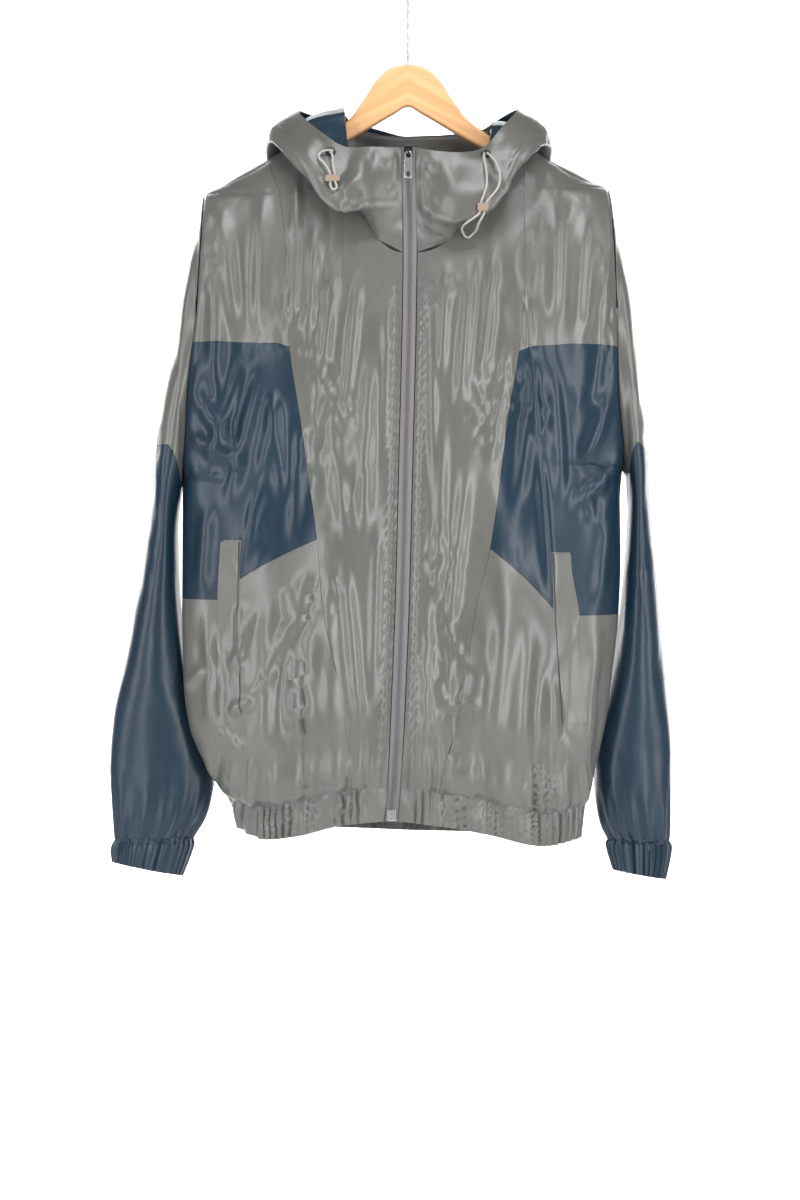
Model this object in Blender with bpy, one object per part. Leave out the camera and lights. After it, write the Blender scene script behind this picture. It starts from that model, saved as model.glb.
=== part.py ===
"""Hooded windbreaker jacket, zipped up, hanging on a wooden hanger.

Built the way the garment is cut: each panel is its own thin wall on one common form, 0.3 mm from its neighbours
at the seams. All sizes are in millimetres until the last step, which makes metres.

Frame: the origin is the inside top of the hanger's hook, where a rail carries it. +X is to the right of someone
facing the jacket's front, -Y is towards them, +Z is up. "drop" is the distance below the origin, so z = -drop.
"left" and "right" are as seen from the front.
"""

import math

import bmesh
import bpy
import numpy as np
from mathutils import Matrix, Vector

MM = 0.001
SEAM_GAP = 0.3
CLOTH = 1.2  # wall of one layer of cloth
LINING = 1.0
LAYER_GAP = 0.4  # between the hood's shell and its lining
JOIN_CLEAR = 2.4  # where two walls meet at a right angle, as at the armhole and the neckline
SIDES = ("left", "right")

# ---------------------------------------------------------------- the body's form

# Silhouette of the body: shoulder line down to drop 269, then armhole, then side seam.
BODY_OUTLINE = {
    "left": (  # drop, x
        (184, -66), (205, -102), (234, -152), (258, -194), (269, -211), (335, -215), (398, -219), (461, -227),
        (524, -232), (566, -235), (692, -236), (776, -234), (818, -228), (855, -212), (881, -196), (899, -184),
        (922, -180), (945, -176),
    ),
    "right": (
        (199, 87), (214, 115), (232, 150), (254, 192), (262, 207), (325, 213), (425, 216), (482, 218),
        (545, 224), (587, 221), (650, 222), (704, 220), (755, 214), (797, 208), (839, 198), (871, 190),
        (894, 184), (922, 181), (950, 178),
    ),
}  # fmt: skip
BODY_DEPTH = (  # drop, front, back
    (184, 28, 24), (230, 33, 28), (269, 42, 33), (335, 54, 38), (425, 62, 42), (550, 68, 45), (690, 73, 49),
    (800, 75, 50), (860, 66, 45), (900, 54, 38), (950, 50, 36),
)  # fmt: skip
SECTION_POWER = 2.6  # how square a level section of the body is
ZIP_PATH = (  # drop, x
    (227, 0), (334, 2), (410, 1), (530, -2), (692, -6), (795, -10), (860, -13), (950, -20),
)  # fmt: skip
ARMHOLE = {  # drop of the top and of the underarm, and the half width to the front and to the back
    "left": {"top": 269, "underarm": 560, "front": 34, "back": 30},
    "right": {"top": 262, "underarm": 552, "front": 34, "back": 30},
}
NECK = {  # where the neckline crosses the shoulder line
    "left": {"x": -66, "drop": 184},
    "right": {"x": 87, "drop": 199},
}
NECK_FRONT_DROP = 334
NECK_BACK_DIP = 14
HEM_SAG = (  # share of the half width from the centre, how far the hem hangs below its level
    (-1.0, 8), (-0.8, 20), (-0.6, 16), (-0.3, 4), (0.0, 0), (0.25, 5), (0.5, 14), (0.8, 27), (1.0, 20),
)  # fmt: skip
SAG_FROM, SAG_TO = 640, 890
ZIP_HALF = 7.5  # the front edges stand this far from the zip's middle line
BAND_TOP, HEM = 886, 921

# Creases: a ridge (height > 0) or a trough along a line from (x, drop) to (x, drop), with a half width.
FOLDS = (  # x0, drop0, x1, drop1, half width, height
    (-128, 436, -172, 664, 26, 9),
    (124, 330, 146, 690, 24, 8),
    (-170, 300, -182, 560, 16, -7),
    (-88, 560, -82, 880, 22, 6),
    (-30, 380, -60, 860, 26, 4),
    (52, 300, 78, 620, 22, 5),
    (98, 640, 112, 870, 22, 7),
    (150, 720, 128, 885, 18, -6),
    (-190, 700, -128, 885, 20, 6),
)
BACK_FOLDS = (
    (-120, 330, -70, 760, 30, 7),
    (20, 300, -12, 800, 30, 6),
    (104, 320, 132, 820, 28, 7),
    (-150, 640, -120, 880, 22, 5),
    (60, 640, 70, 880, 22, -5),
)
GATHERS = {"pitch": 46.0, "height": 3.2, "from": 800}  # puckers that run up from the hem band


def hermite(keys, values, at):
    """Smooth curve through a table's rows, with no overshoot: values may have several columns."""
    keys, values, at = np.asarray(keys, float), np.asarray(values, float), np.asarray(at, float)
    values = values.reshape(len(keys), -1)
    step = np.diff(keys)[:, None]
    slope = np.diff(values, axis=0) / step
    inner = np.where(slope[:-1] * slope[1:] > 0, 2 * slope[:-1] * slope[1:] / (slope[:-1] + slope[1:] + 1e-12), 0)
    tangent = np.vstack([slope[:1], inner, slope[-1:]])
    at = np.clip(at, keys[0], keys[-1])
    i = np.clip(np.searchsorted(keys, at, side="right") - 1, 0, len(keys) - 2)
    h = step[i]
    u = ((at - keys[i])[..., None]) / h
    out = (
        values[i] * (1 + 2 * u) * (1 - u) ** 2
        + values[i + 1] * u * u * (3 - 2 * u)
        + tangent[i] * h * u * (1 - u) ** 2
        - tangent[i + 1] * h * u * u * (1 - u)
    )
    return out[..., 0] if out.shape[-1] == 1 else out


def rounded(keys, values, at):
    """Rounder curve through a table's rows, for loops and tubes."""
    keys, values, at = np.asarray(keys, float), np.asarray(values, float), np.asarray(at, float)
    slope = np.diff(values, axis=0) / np.diff(keys)[:, None]
    tangent = np.vstack([slope[:1], (slope[:-1] + slope[1:]) / 2, slope[-1:]])
    i = np.clip(np.searchsorted(keys, at, side="right") - 1, 0, len(keys) - 2)
    h = (keys[i + 1] - keys[i])[..., None]
    u = (at - keys[i])[..., None] / h
    return (
        values[i] * (1 + 2 * u) * (1 - u) ** 2
        + values[i + 1] * u * u * (3 - 2 * u)
        + tangent[i] * h * u * (1 - u) ** 2
        - tangent[i + 1] * h * u * u * (1 - u)
    )


def column(table, key, value):
    return [row[key] for row in table], [row[value] for row in table]


def smoothstep(a, b, x):
    u = np.clip((x - a) / (b - a), 0, 1)
    return u * u * (3 - 2 * u)


def side_x(side, drop):
    return hermite(*column(BODY_OUTLINE[side], 0, 1), drop)


def zip_x(drop):
    return hermite(*column(ZIP_PATH, 0, 1), drop)


def middle_x(front, drop):
    """The line that a level section is measured from: the zip in front, half way between the sides behind."""
    if front:
        return zip_x(drop)
    return (side_x("left", np.maximum(drop, 184)) + side_x("right", np.maximum(drop, 199))) / 2


def armhole_y(side, front, drop):
    hole = ARMHOLE[side]
    centre, half = (hole["top"] + hole["underarm"]) / 2, (hole["underarm"] - hole["top"]) / 2
    share = np.clip((drop - centre) / half, -1, 1)
    return hole["front" if front else "back"] * np.sqrt(1 - share**2)


def angle_of(side, front, x, drop):
    """Where x lies on the level section: 0 at the middle line, a right angle at the side."""
    middle = middle_x(front, drop)
    return np.arcsin(np.clip((x - middle) / (side_x(side, drop) - middle), 0, 1))


def crease(folds, x, drop):
    height = np.zeros_like(x)
    for x0, d0, x1, d1, half, rise in folds:
        along = ((x - x0) * (x1 - x0) + (drop - d0) * (d1 - d0)) / ((x1 - x0) ** 2 + (d1 - d0) ** 2)
        away = np.hypot(x - x0 - along * (x1 - x0), drop - d0 - along * (d1 - d0))
        ends = smoothstep(-0.05, 0.3, along) * smoothstep(1.05, 0.7, along)
        height += rise * ends * np.exp(-((away / half) ** 2))
    return height


def body_point(side, front, angle, drop):
    """A point of the body's inner surface, from the angle on its level section and its level."""
    share = np.sin(angle)
    middle = middle_x(front, drop)
    x = middle + (side_x(side, drop) - middle) * share
    depth = hermite(*column(BODY_DEPTH, 0, 1 if front else 2), drop)
    edge = armhole_y(side, front, drop)
    fullness = np.sqrt(np.clip(1 - share**SECTION_POWER, 0, 1))
    depth = edge + (depth - edge) * fullness
    swing = GATHERS["height"] * smoothstep(GATHERS["from"], BAND_TOP, drop) * smoothstep(HEM, BAND_TOP, drop)
    depth += fullness * (
        crease(FOLDS if front else BACK_FOLDS, x, drop) + swing * np.sin(2 * math.pi * x / GATHERS["pitch"])
    )
    signed = share if side == "right" else -share
    if front:
        sag = hermite(*column(HEM_SAG, 0, 1), signed)
    else:
        sag = np.interp(signed, (-1, 0, 1), (8, 16, 20))
    hang = drop + sag * smoothstep(SAG_FROM, SAG_TO, drop)
    return np.stack([x, np.where(front, -1, 1) * depth, -hang], axis=-1)


# ---------------------------------------------------------------- the cut of the body

# Lines that run down the panels. The front ones are the zip edge, a line below the neck point, the long front
# seam, the pleat beside it, the pocket's line and the side; each is a short table of drop and x.
FRONT_LINES = {
    "left": {
        "neck": ((184, -66), (260, -66), (430, -64), (690, -48), (921, -38)),
        "seam": (
            (231, -147), (270, -134), (313, -128), (432, -122), (501, -112), (630, -94), (692, -88), (795, -68),
            (886, -58), (921, -56),
        ),
        "pleat": ((237, -158), (300, -146), (432, -134), (537, -147), (615, -165), (662, -173), (790, -162), (921, -112)),
        "pocket": ((252, -182), (425, -180), (560, -186), (630, -190), (690, -195), (787, -200), (921, -152)),
    },
    "right": {
        "neck": ((199, 87), (260, 80), (430, 66), (690, 40), (921, 4)),
        "seam": (
            (216, 119), (316, 120), (377, 120), (437, 114), (502, 103), (640, 84), (693, 71), (795, 54),
            (874, 35), (921, 26),
        ),
        "pleat": ((226, 139), (300, 132), (430, 127), (495, 130), (580, 139), (642, 146), (698, 149), (800, 140), (921, 92)),
        "pocket": ((244, 172), (425, 168), (560, 166), (643, 167), (704, 177), (800, 184), (921, 146)),
    },
}  # fmt: skip
# Drop of each cross seam on each line: top edge, top of the dark block, underarm, then the block's stepped
# lower edge in three steps, the band's top seam and the hem.
FRONT_ROWS = {
    "left": {
        "zip": (334, 430, 545, 600, 632, 690, BAND_TOP, HEM),
        "neck": (184, 431, 545, 598, 631, 690, BAND_TOP, HEM),
        "seam": (231, 432, 550, 596, 630, 690, BAND_TOP, HEM),
        "pleat": (237, 428, 555, 630, 670, 694, BAND_TOP, HEM),
        "pocket": (252, 426, 558, 630, 660, 690, BAND_TOP, HEM),
        "side": (269, 425, 560, 630, 660, 690, BAND_TOP, HEM),
    },
    "right": {
        "zip": (334, 432, 545, 604, 640, 700, BAND_TOP, HEM),
        "neck": (199, 435, 545, 602, 640, 700, BAND_TOP, HEM),
        "seam": (216, 437, 548, 600, 640, 700, BAND_TOP, HEM),
        "pleat": (226, 432, 550, 643, 698, 712, BAND_TOP, HEM),
        "pocket": (244, 428, 552, 643, 675, 704, BAND_TOP, HEM),
        "side": (262, 430, 552, 643, 675, 704, BAND_TOP, HEM),
    },
}
BACK_LINES = {
    "left": {
        "middle": ((184, 0), (921, 0)),
        "neck": ((184, -66), (260, -66), (921, -60)),
        "seam": ((231, -147), (425, -112), (921, -96)),
        "pleat": ((237, -158), (425, -140), (921, -118)),
        "pocket": ((252, -182), (425, -170), (700, -190), (921, -150)),
    },
    "right": {
        "middle": ((184, 0), (921, 0)),
        "neck": ((199, 87), (260, 80), (921, 60)),
        "seam": ((216, 119), (425, 112), (921, 96)),
        "pleat": ((226, 139), (425, 138), (921, 116)),
        "pocket": ((244, 172), (425, 166), (700, 176), (921, 146)),
    },
}
COLUMN_ENDS = (("zip", "neck"), ("neck", "seam"), ("seam", "pleat"), ("pleat", "pocket"), ("pocket", "side"))
NECK_CORNERS = (0.0, 0.27, 0.52, 0.73, 0.88, 0.965, 1.0)  # places along each half of the neckline, from the middle
NECK_STEPS = len(NECK_CORNERS) - 1
COLUMN_STEPS = (NECK_STEPS, 2, 2, 1, 3)
ROW_STEPS = (5, 4, 2, 1, 1, 6, 1)
SHOULDER, BLOCK, HIP = "front_shoulder", "front_block", "front_hip"
FRONT_PANELS = {  # for each panel, its blocks: column, first row boundary, last row boundary
    "front_center": ((0, 0, 6), (1, 0, 6)),
    SHOULDER: ((2, 0, 1), (3, 0, 1), (4, 0, 1)),
    BLOCK: ((2, 1, 4), (3, 1, 3), (4, 1, 5)),
    HIP: ((2, 4, 6), (3, 3, 6), (4, 5, 6)),
}


def rows_of(side, front, line):
    if front:
        return FRONT_ROWS[side][line]
    if line == "middle":
        top = (NECK["left"]["drop"] + NECK["right"]["drop"]) / 2 + NECK_BACK_DIP
        return (top, *FRONT_ROWS["left"]["neck"][1:])
    return FRONT_ROWS[side][line]


def line_at(side, front, line, row, share):
    """(angle, drop) on one of the lines that run down a panel, a share of the way through a row."""
    rows = rows_of(side, front, line)
    if line == "side" and row < 2:  # evenly round the armhole
        hole = ARMHOLE[side]
        centre, half = (hole["top"] + hole["underarm"]) / 2, (hole["underarm"] - hole["top"]) / 2
        turns = np.arccos(np.clip((centre - np.array(rows[:3], float)) / half, -1, 1))
        drop = centre - half * math.cos(turns[row] + (turns[row + 1] - turns[row]) * share)
        return math.pi / 2, drop
    drop = rows[row] + (rows[row + 1] - rows[row]) * (share**1.7 if row == 0 else share)
    if line == "side":
        return math.pi / 2, drop
    if line == "zip":
        x = float(zip_x(drop)) + (ZIP_HALF if side == "right" else -ZIP_HALF)
    else:
        table = (FRONT_LINES if front else BACK_LINES)[side][line]
        x = float(hermite(*column(table, 0, 1), drop))
    if line == "neck" and row == 0 and share == 0:
        return math.pi / 2, drop
    if line == "middle":
        return 0.0, drop
    if line in ("seam", "pleat", "pocket") and row == 0 and share == 0:
        return math.pi / 2, drop
    return float(angle_of(side, front, x, drop)), drop


def neckline(side, front, share):
    """(x, drop) on the neckline, from the middle to where it crosses the shoulder."""
    turn = share * math.pi / 2
    drop_side = NECK[side]["drop"]
    if front:
        drop_middle = NECK_FRONT_DROP
        start = float(zip_x(NECK_FRONT_DROP)) + (ZIP_HALF if side == "right" else -ZIP_HALF)
    else:
        drop_middle = rows_of(side, False, "middle")[0]
        start = float(middle_x(False, drop_middle))
    x = start + (NECK[side]["x"] - start) * math.sin(turn)
    return x, drop_side + (drop_middle - drop_side) * math.cos(turn)


def block_grid(side, front, ends, row, across, down):
    """(angle, drop) over one block, between two lines and two cross seams."""
    grid = np.zeros((down + 1, across + 1, 2))
    for j in range(down + 1):
        a = np.array(line_at(side, front, ends[0], row, j / down))
        b = np.array(line_at(side, front, ends[1], row, j / down))
        for i in range(across + 1):
            grid[j, i] = a + (b - a) * i / across
    if row == 0 and ends[0] in ("zip", "middle"):
        grid = neck_block(side, front, grid, across, down)
    return grid


def neck_block(side, front, grid, across, down):
    """The block under the neckline: its edges kept or put on the neckline, its inside blended between them."""

    def flat(cells):
        x = middle_x(front, cells[..., 1])
        x = x + (side_x(side, cells[..., 1]) - x) * np.sin(cells[..., 0])
        return np.stack([x, cells[..., 1]], axis=-1)

    top = np.array([neckline(side, front, share) for share in NECK_CORNERS])
    low, first, last = flat(grid[-1]), flat(grid[:, 0]), flat(grid[:, -1])
    u = np.linspace(0, 1, across + 1)[None, :, None]
    v = np.linspace(0, 1, down + 1)[:, None, None]
    corners = (1 - u) * (1 - v) * top[0] + u * (1 - v) * top[-1] + (1 - u) * v * low[0] + u * v * low[-1]
    inside = (1 - v) * top[None] + v * low[None] + (1 - u) * first[:, None] + u * last[:, None] - corners
    made = np.stack([angle_of(side, front, inside[..., 0], inside[..., 1]), inside[..., 1]], axis=-1)
    made[-1], made[:, 0], made[:, -1] = grid[-1], grid[:, 0], grid[:, -1]
    return made


def grid_points(side, front, grid, spread=0.02):
    """Points of the body at a grid of (angle, drop), and the outward directions there."""
    angle, drop = grid[..., 0], grid[..., 1]
    here = body_point(side, front, angle, drop)
    step_a = np.where(angle > math.pi / 2 - spread, -spread, spread)
    along = (body_point(side, front, angle + step_a, drop) - here) * np.sign(step_a)[..., None]
    down = body_point(side, front, angle, drop + 2.0) - here
    normal = np.cross(along, down) * (-1 if (side == "right") == front else 1)
    normal /= np.linalg.norm(normal, axis=-1, keepdims=True) + 1e-12
    return here, normal


class Sheet:
    """Grids of points joined into one sheet, then thickened along given directions into a closed wall."""

    def __init__(self):
        self.points, self.normals, self.faces, self.index = [], [], [], {}

    def vertex(self, point, normal):
        key = tuple(np.round(point, 2))
        if key not in self.index:
            self.index[key] = len(self.points)
            self.points.append(np.array(point, float))
            self.normals.append(np.zeros(3))
        self.normals[self.index[key]] += normal
        return self.index[key]

    def add(self, points, normals):
        rows, columns = points.shape[:2]
        ids = [[self.vertex(points[j, i], normals[j, i]) for i in range(columns)] for j in range(rows)]
        facing = np.cross(points[:-1, 1:] - points[:-1, :-1], points[1:, :-1] - points[:-1, :-1])
        turn = 1 if (facing * normals[:-1, :-1]).sum() > 0 else -1
        for j in range(rows - 1):
            for i in range(columns - 1):
                face = [ids[j][i], ids[j][i + 1], ids[j + 1][i + 1], ids[j + 1][i]]
                face = [v for k, v in enumerate(face) if v != face[k - 1]][::turn]
                if len(face) == 4:  # split the same way on every layer, so that layers stay parallel
                    a, b, c, d = face
                    first = np.linalg.norm(self.points[a] - self.points[c])
                    if first <= np.linalg.norm(self.points[b] - self.points[d]):
                        self.faces += [[a, b, c], [a, c, d]]
                    else:
                        self.faces += [[a, b, d], [b, c, d]]
                elif len(face) == 3:
                    self.faces.append(face)

    def rim(self):
        edges = {(a, b) for face in self.faces for a, b in zip(face, face[1:] + face[:1])}
        return [(a, b) for a, b in sorted(edges) if (b, a) not in edges]

    def trim(self, by=SEAM_GAP / 2):
        """Moves the open edges inwards, along the sheet, to leave half of a seam's gap."""
        points, rim = np.array(self.points), self.rim()
        inward = np.zeros_like(points)
        for a, b in rim:
            along = points[b] - points[a]
            length = np.linalg.norm(along)
            for v in (a, b):
                normal = self.normals[v] / np.linalg.norm(self.normals[v])
                way = np.cross(normal, along / length)
                inward[v] += way / (np.linalg.norm(way) + 1e-9)
        for v in {v for edge in rim for v in edge}:
            size = np.linalg.norm(inward[v])
            if size > 0.3:  # two edges add up to twice the cosine of half their turn
                self.points[v] = points[v] + inward[v] / size * min(by * 2 / size, by * 1.8)
        return self

    def wall(self, name, surface, inner, outer):
        """A closed solid between two offsets of the sheet."""
        points = np.array(self.points)
        normals = np.array(self.normals)
        normals /= np.linalg.norm(normals, axis=1, keepdims=True)
        count = len(points)
        solid = list(self.faces) + [[v + count for v in reversed(f)] for f in self.faces]
        solid += [[b, a, a + count, b + count] for a, b in self.rim()]
        made = np.vstack([points + normals * outer, points + normals * inner])
        return new_mesh(name, made, solid, surface)


# ---------------------------------------------------------------- objects and materials


def material(name, colour, roughness, metallic=0.0):
    made = bpy.data.materials.new(name)
    made.use_nodes = True
    shader = made.node_tree.nodes["Principled BSDF"]
    shader.inputs["Base Color"].default_value = (*colour, 1)
    shader.inputs["Roughness"].default_value = roughness
    shader.inputs["Metallic"].default_value = metallic
    return made


def new_mesh(name, points, faces, surface, smooth=True):
    mesh = bpy.data.meshes.new(name)
    mesh.from_pydata([tuple(float(c) * MM for c in p) for p in points], [], faces)
    mesh.validate()
    if smooth:
        mesh.shade_smooth()
        mesh.set_sharp_from_angle(angle=math.radians(50))
    mesh.materials.append(surface)
    made = bpy.data.objects.new(name, mesh)
    bpy.context.scene.collection.objects.link(made)
    return made


def extruded(name, outline, y0, y1, surface, bevel=0.0):
    """A plate: an outline in x and drop, between two depths."""
    count = len(outline)
    points = [(x, y0, -drop) for x, drop in outline] + [(x, y1, -drop) for x, drop in outline]
    faces = [list(range(count)), list(range(2 * count - 1, count - 1, -1))]
    faces += [[i, i + count, (i + 1) % count + count, (i + 1) % count] for i in range(count)]
    made = new_mesh(name, points, faces, surface, smooth=False)
    face_out(made)
    if bevel:
        edge = made.modifiers.new("Edges", "BEVEL")
        edge.width = bevel * MM
        edge.segments = 2
        edge.limit_method = "ANGLE"
        edge.angle_limit = math.radians(60)
    return made


def face_out(made):
    work = bmesh.new()
    work.from_mesh(made.data)
    bmesh.ops.recalc_face_normals(work, faces=work.faces)
    work.to_mesh(made.data)
    work.free()


def main_materials():
    return {
        "shell": material("shell_cloth", (0.24, 0.235, 0.205), 0.42),
        "dark": material("dark_cloth", (0.045, 0.085, 0.125), 0.45),
        "lining": material("lining_cloth", (0.035, 0.075, 0.11), 0.5),
        "tape": material("zip_tape", (0.25, 0.24, 0.26), 0.7),
        "metal": material("bright_metal", (0.62, 0.62, 0.64), 0.25, 1.0),
        "black": material("black_metal", (0.02, 0.02, 0.022), 0.4, 0.8),
        "wood": material("hanger_wood", (0.72, 0.46, 0.25), 0.45),
        "cord": material("cord", (0.55, 0.53, 0.5), 0.7),
        "stopper": material("stopper", (0.32, 0.25, 0.2), 0.5),
    }


# ---------------------------------------------------------------- body panels


def panel_sheet(side, front, blocks):
    """One panel made of blocks, each between two lines and two cross seams."""
    sheet = Sheet()
    for c, first, last in blocks:
        ends = ("middle", "neck") if c == 0 and not front else COLUMN_ENDS[c]
        for r in range(first, last):
            grid = block_grid(side, front, ends, r, COLUMN_STEPS[c], ROW_STEPS[r])
            sheet.add(*grid_points(side, front, grid))
    return sheet


def build_body(paint):
    for side in SIDES:
        for panel, blocks in FRONT_PANELS.items():
            cloth = paint["dark"] if panel == BLOCK else paint["shell"]
            panel_sheet(side, True, blocks).trim().wall(f"{panel}_{side}", cloth, 0, CLOTH)
        band = tuple((c, 6, 7) for c in range(5))
        panel_sheet(side, True, band).trim().wall(f"hem_band_{side}", paint["shell"], 0, CLOTH)
    for name, first, last in (("back", 0, 6), ("hem_band_back", 6, 7)):
        sheet = Sheet()
        for side in SIDES:
            part = panel_sheet(side, False, tuple((c, first, last) for c in range(5)))
            for face in part.faces:
                sheet.faces.append([sheet.vertex(part.points[v], part.normals[v] / len(face)) for v in face])
        sheet.trim().wall(name, paint["shell"], 0, CLOTH)


# ---------------------------------------------------------------- sleeves

SLEEVE = {  # stations: outer line x and drop, inner line x and drop, front and back depth y
    "left": (
        (-211, 269, -233, 560, -34, 30),
        (-231, 340, -238, 572, -36, 38),
        (-243, 415, -240, 586, -36, 44),
        (-256, 475, -242, 602, -34, 50),
        (-266, 535, -243, 625, -30, 55),
        (-274, 610, -242, 662, -22, 59),
        (-286, 690, -240, 716, -13, 61),
        (-298, 757, -233, 775, -7, 61),
        (-310, 812, -221, 824, -1, 59),
        (-315, 872, -207, 873, 4, 56),
        (-312, 920, -213, 916, 8, 53),
        (-309, 945, -228, 943, 13, 48),
        (-312, 956, -230, 953, 12, 49),
        (-312, 970, -240, 984, 12, 49),
    ),
    "right": (
        (207, 262, 225, 552, -34, 30),
        (228, 346, 231, 566, -36, 38),
        (237, 405, 232, 580, -36, 44),
        (245, 475, 233, 598, -34, 51),
        (253, 545, 232, 627, -29, 57),
        (257, 625, 229, 672, -21, 61),
        (264, 700, 224, 727, -13, 63),
        (271, 775, 214, 787, -6, 63),
        (277, 840, 201, 843, 0, 61),
        (278, 890, 199, 890, 4, 58),
        (277, 930, 205, 927, 9, 53),
        (275, 948, 213, 945, 14, 47),
        (277, 956, 213, 953, 13, 48),
        (272, 988, 219, 978, 13, 48),
    ),
}
SLEEVE_END, CUFF_END = 11, 13  # the stations where the cuff begins and ends
# Where the light upper sleeve meets the dark lower one: angle round the sleeve from its outer line, station.
SLEEVE_SEAM = ((0, 4.2), (60, 3.5), (100, 2.6), (180, 1.0))
AROUND = 9  # steps from the outer line to the inner line, the same ones as the armhole's


def sleeve_angles(side):
    """Angles of the points round the armhole, front half then back half, that the body panels have too."""
    hole = ARMHOLE[side]
    centre, half = (hole["top"] + hole["underarm"]) / 2, (hole["underarm"] - hole["top"]) / 2
    turn = math.acos((centre - FRONT_ROWS[side]["side"][1]) / half)
    upper, lower = ROW_STEPS[0], ROW_STEPS[1]
    front = [turn * j / upper for j in range(upper)]
    front += [turn + (math.pi - turn) * j / lower for j in range(lower + 1)]
    return front + [2 * math.pi - a for a in reversed(front[1:-1])]


def sleeve_point(side, angle, station):
    """A point of the sleeve's inner surface: the angle runs from the outer line by the front to the inner line."""
    table = np.array(SLEEVE[side], float)
    keys = np.arange(len(table))
    station = np.broadcast_to(np.asarray(station, float), np.shape(angle))
    v = rounded(keys, table, station)
    cos, sin = np.cos(angle), np.sin(angle)
    x = (v[..., 0] + v[..., 2]) / 2 + (v[..., 0] - v[..., 2]) / 2 * cos
    drop = (v[..., 1] + v[..., 3]) / 2 + (v[..., 1] - v[..., 3]) / 2 * cos
    ease = smoothstep(0, 1.5, station)
    # The armhole is centred on y = 0, and the tube below it on the middle of its own depth.
    middle = ease * (v[..., 4] + v[..., 5]) / 2
    reach = np.where(sin > 0, middle - v[..., 4], v[..., 5] - middle)
    y = middle - sin * reach
    # It starts just outside the armhole's edge, and stays outside the body's side until it can pass behind it.
    sign = 1 if side == "right" else -1
    outside = (side_x(side, drop) - x) * sign + JOIN_CLEAR
    x += sign * np.maximum(outside, 0) * (1 - smoothstep(3.5, 5.5, station))
    x += sign * np.minimum(outside, 0) * (1 - smoothstep(0, 0.8, station))
    return np.stack([x, y, -drop], axis=-1)


def sleeve_sheet(side, start, end, rows):
    """A tube of sleeve between two stations, each a function of the angle."""
    angles = np.array(sleeve_angles(side))
    around = np.append(angles, angles[0])
    grid = np.zeros((rows + 1, len(around), 2))
    for i, a in enumerate(around):
        first, last = start(a), end(a)
        grid[:, i, 0] = a
        grid[:, i, 1] = first + (last - first) * np.linspace(0, 1, rows + 1)
    here = sleeve_point(side, grid[..., 0], grid[..., 1])
    turn = sleeve_point(side, grid[..., 0] + 0.02, grid[..., 1]) - here
    down = sleeve_point(side, grid[..., 0], grid[..., 1] + 0.02) - here
    normal = np.cross(turn, down)
    normal /= np.linalg.norm(normal, axis=-1, keepdims=True)
    centre = here[:, :-1].mean(axis=1, keepdims=True)
    if ((here - centre) * normal).sum() < 0:
        normal = -normal
    sheet = Sheet()
    sheet.add(here, normal)
    return sheet.trim(0.25)


def seam_station(angle):
    degrees = math.degrees(min(angle, 2 * math.pi - angle))
    return float(hermite(*column(SLEEVE_SEAM, 0, 1), degrees))


def build_sleeves(paint):
    for side in SIDES:
        upper = sleeve_sheet(side, lambda a: 0.0, seam_station, 4)
        upper.wall(f"sleeve_upper_{side}", paint["shell"], 0, CLOTH)
        lower = sleeve_sheet(side, seam_station, lambda a: SLEEVE_END, 10)
        lower.wall(f"sleeve_lower_{side}", paint["dark"], 0, CLOTH)
        cuff = sleeve_sheet(side, lambda a: SLEEVE_END, lambda a: CUFF_END, 2)
        cuff.wall(f"cuff_{side}", paint["dark"], 0, CLOTH)


# ---------------------------------------------------------------- hood

# Sections of the hood, from the zip round one side to the back: the lowest, outermost point of the fallen cloth
# and the point of the face opening's edge.
HOOD = {  # fold x, y, drop, edge x, y, drop
    "left": (
        (-6.4, -62, 285, -7.5, -62, 227),
        (-42, -84, 290, -36, -65, 227),
        (-74, -80, 294, -66, -62, 226),
        (-106, -70, 257, -94, -54, 207),
        (-144, -26, 215, -114, -22, 183),
        (-138, 50, 262, -98, 34, 178),
        (-92, 98, 328, -62, 62, 180),
        (0, 112, 350, 0, 82, 194),
    ),
    "right": (
        (8.6, -62, 285, 7.5, -62, 227),
        (46, -84, 306, 38, -64, 232),
        (88, -78, 288, 74, -60, 229),
        (114, -66, 248, 97, -50, 204),
        (145, -24, 218, 114, -20, 181),
        (139, 50, 260, 99, 34, 180),
        (96, 98, 328, 60, 62, 200),
        (0, 112, 350, 0, 82, 194),
    ),
}
HOOD_NECK_SHARES = (0.0, 0.36, 0.62, 0.86, 1.0, 1.3, 1.65, 2.0)  # the sections' places on the neckline: 1 is the shoulder
HOOD_ROWS = (0.0, 0.11, 0.22, 0.31, 0.4, 0.46, 0.52, 0.63, 0.75, 0.88, 1.0)  # shares of the way up a section


def on_neckline(side, share):
    """Point of the body's neckline and the outward direction there."""
    front = share <= 1
    x, drop = neckline(side, front, share if front else 2 - share)
    angle = math.pi / 2 if abs(share - 1) < 1e-6 else float(angle_of(side, front, x, drop))
    point, normal = grid_points(side, front, np.array([[[angle, drop]]], float))
    return point[0, 0], normal[0, 0]


def neck_corner(side, share):
    """The hood's edge beside one of the corners of the body's neckline: just inside it, and then above it."""
    here, normal = on_neckline(side, share)
    along = on_neckline(side, min(share + 0.04, 2))[0] - on_neckline(side, max(share - 0.04, 0))[0]
    inward = np.cross(along, normal)
    inward *= np.sign(inward @ (np.array([0, 0, -NECK_FRONT_DROP + 200.0]) - here)) / np.linalg.norm(inward)
    lift = (CLOTH + LINING + SEAM_GAP) * float(smoothstep(0.05, 0.5, share))
    up = 3.2 * float(smoothstep(0.6, 0.95, share)) + 2.5 * float(smoothstep(0.7, 1.0, share) * smoothstep(1.4, 1.0, share))
    return here + inward * 1.2 + normal * lift + np.array([0, 0, up])


HOOD_CORNERS = (*NECK_CORNERS, *(2 - share for share in NECK_CORNERS[-2::-1]))


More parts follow.
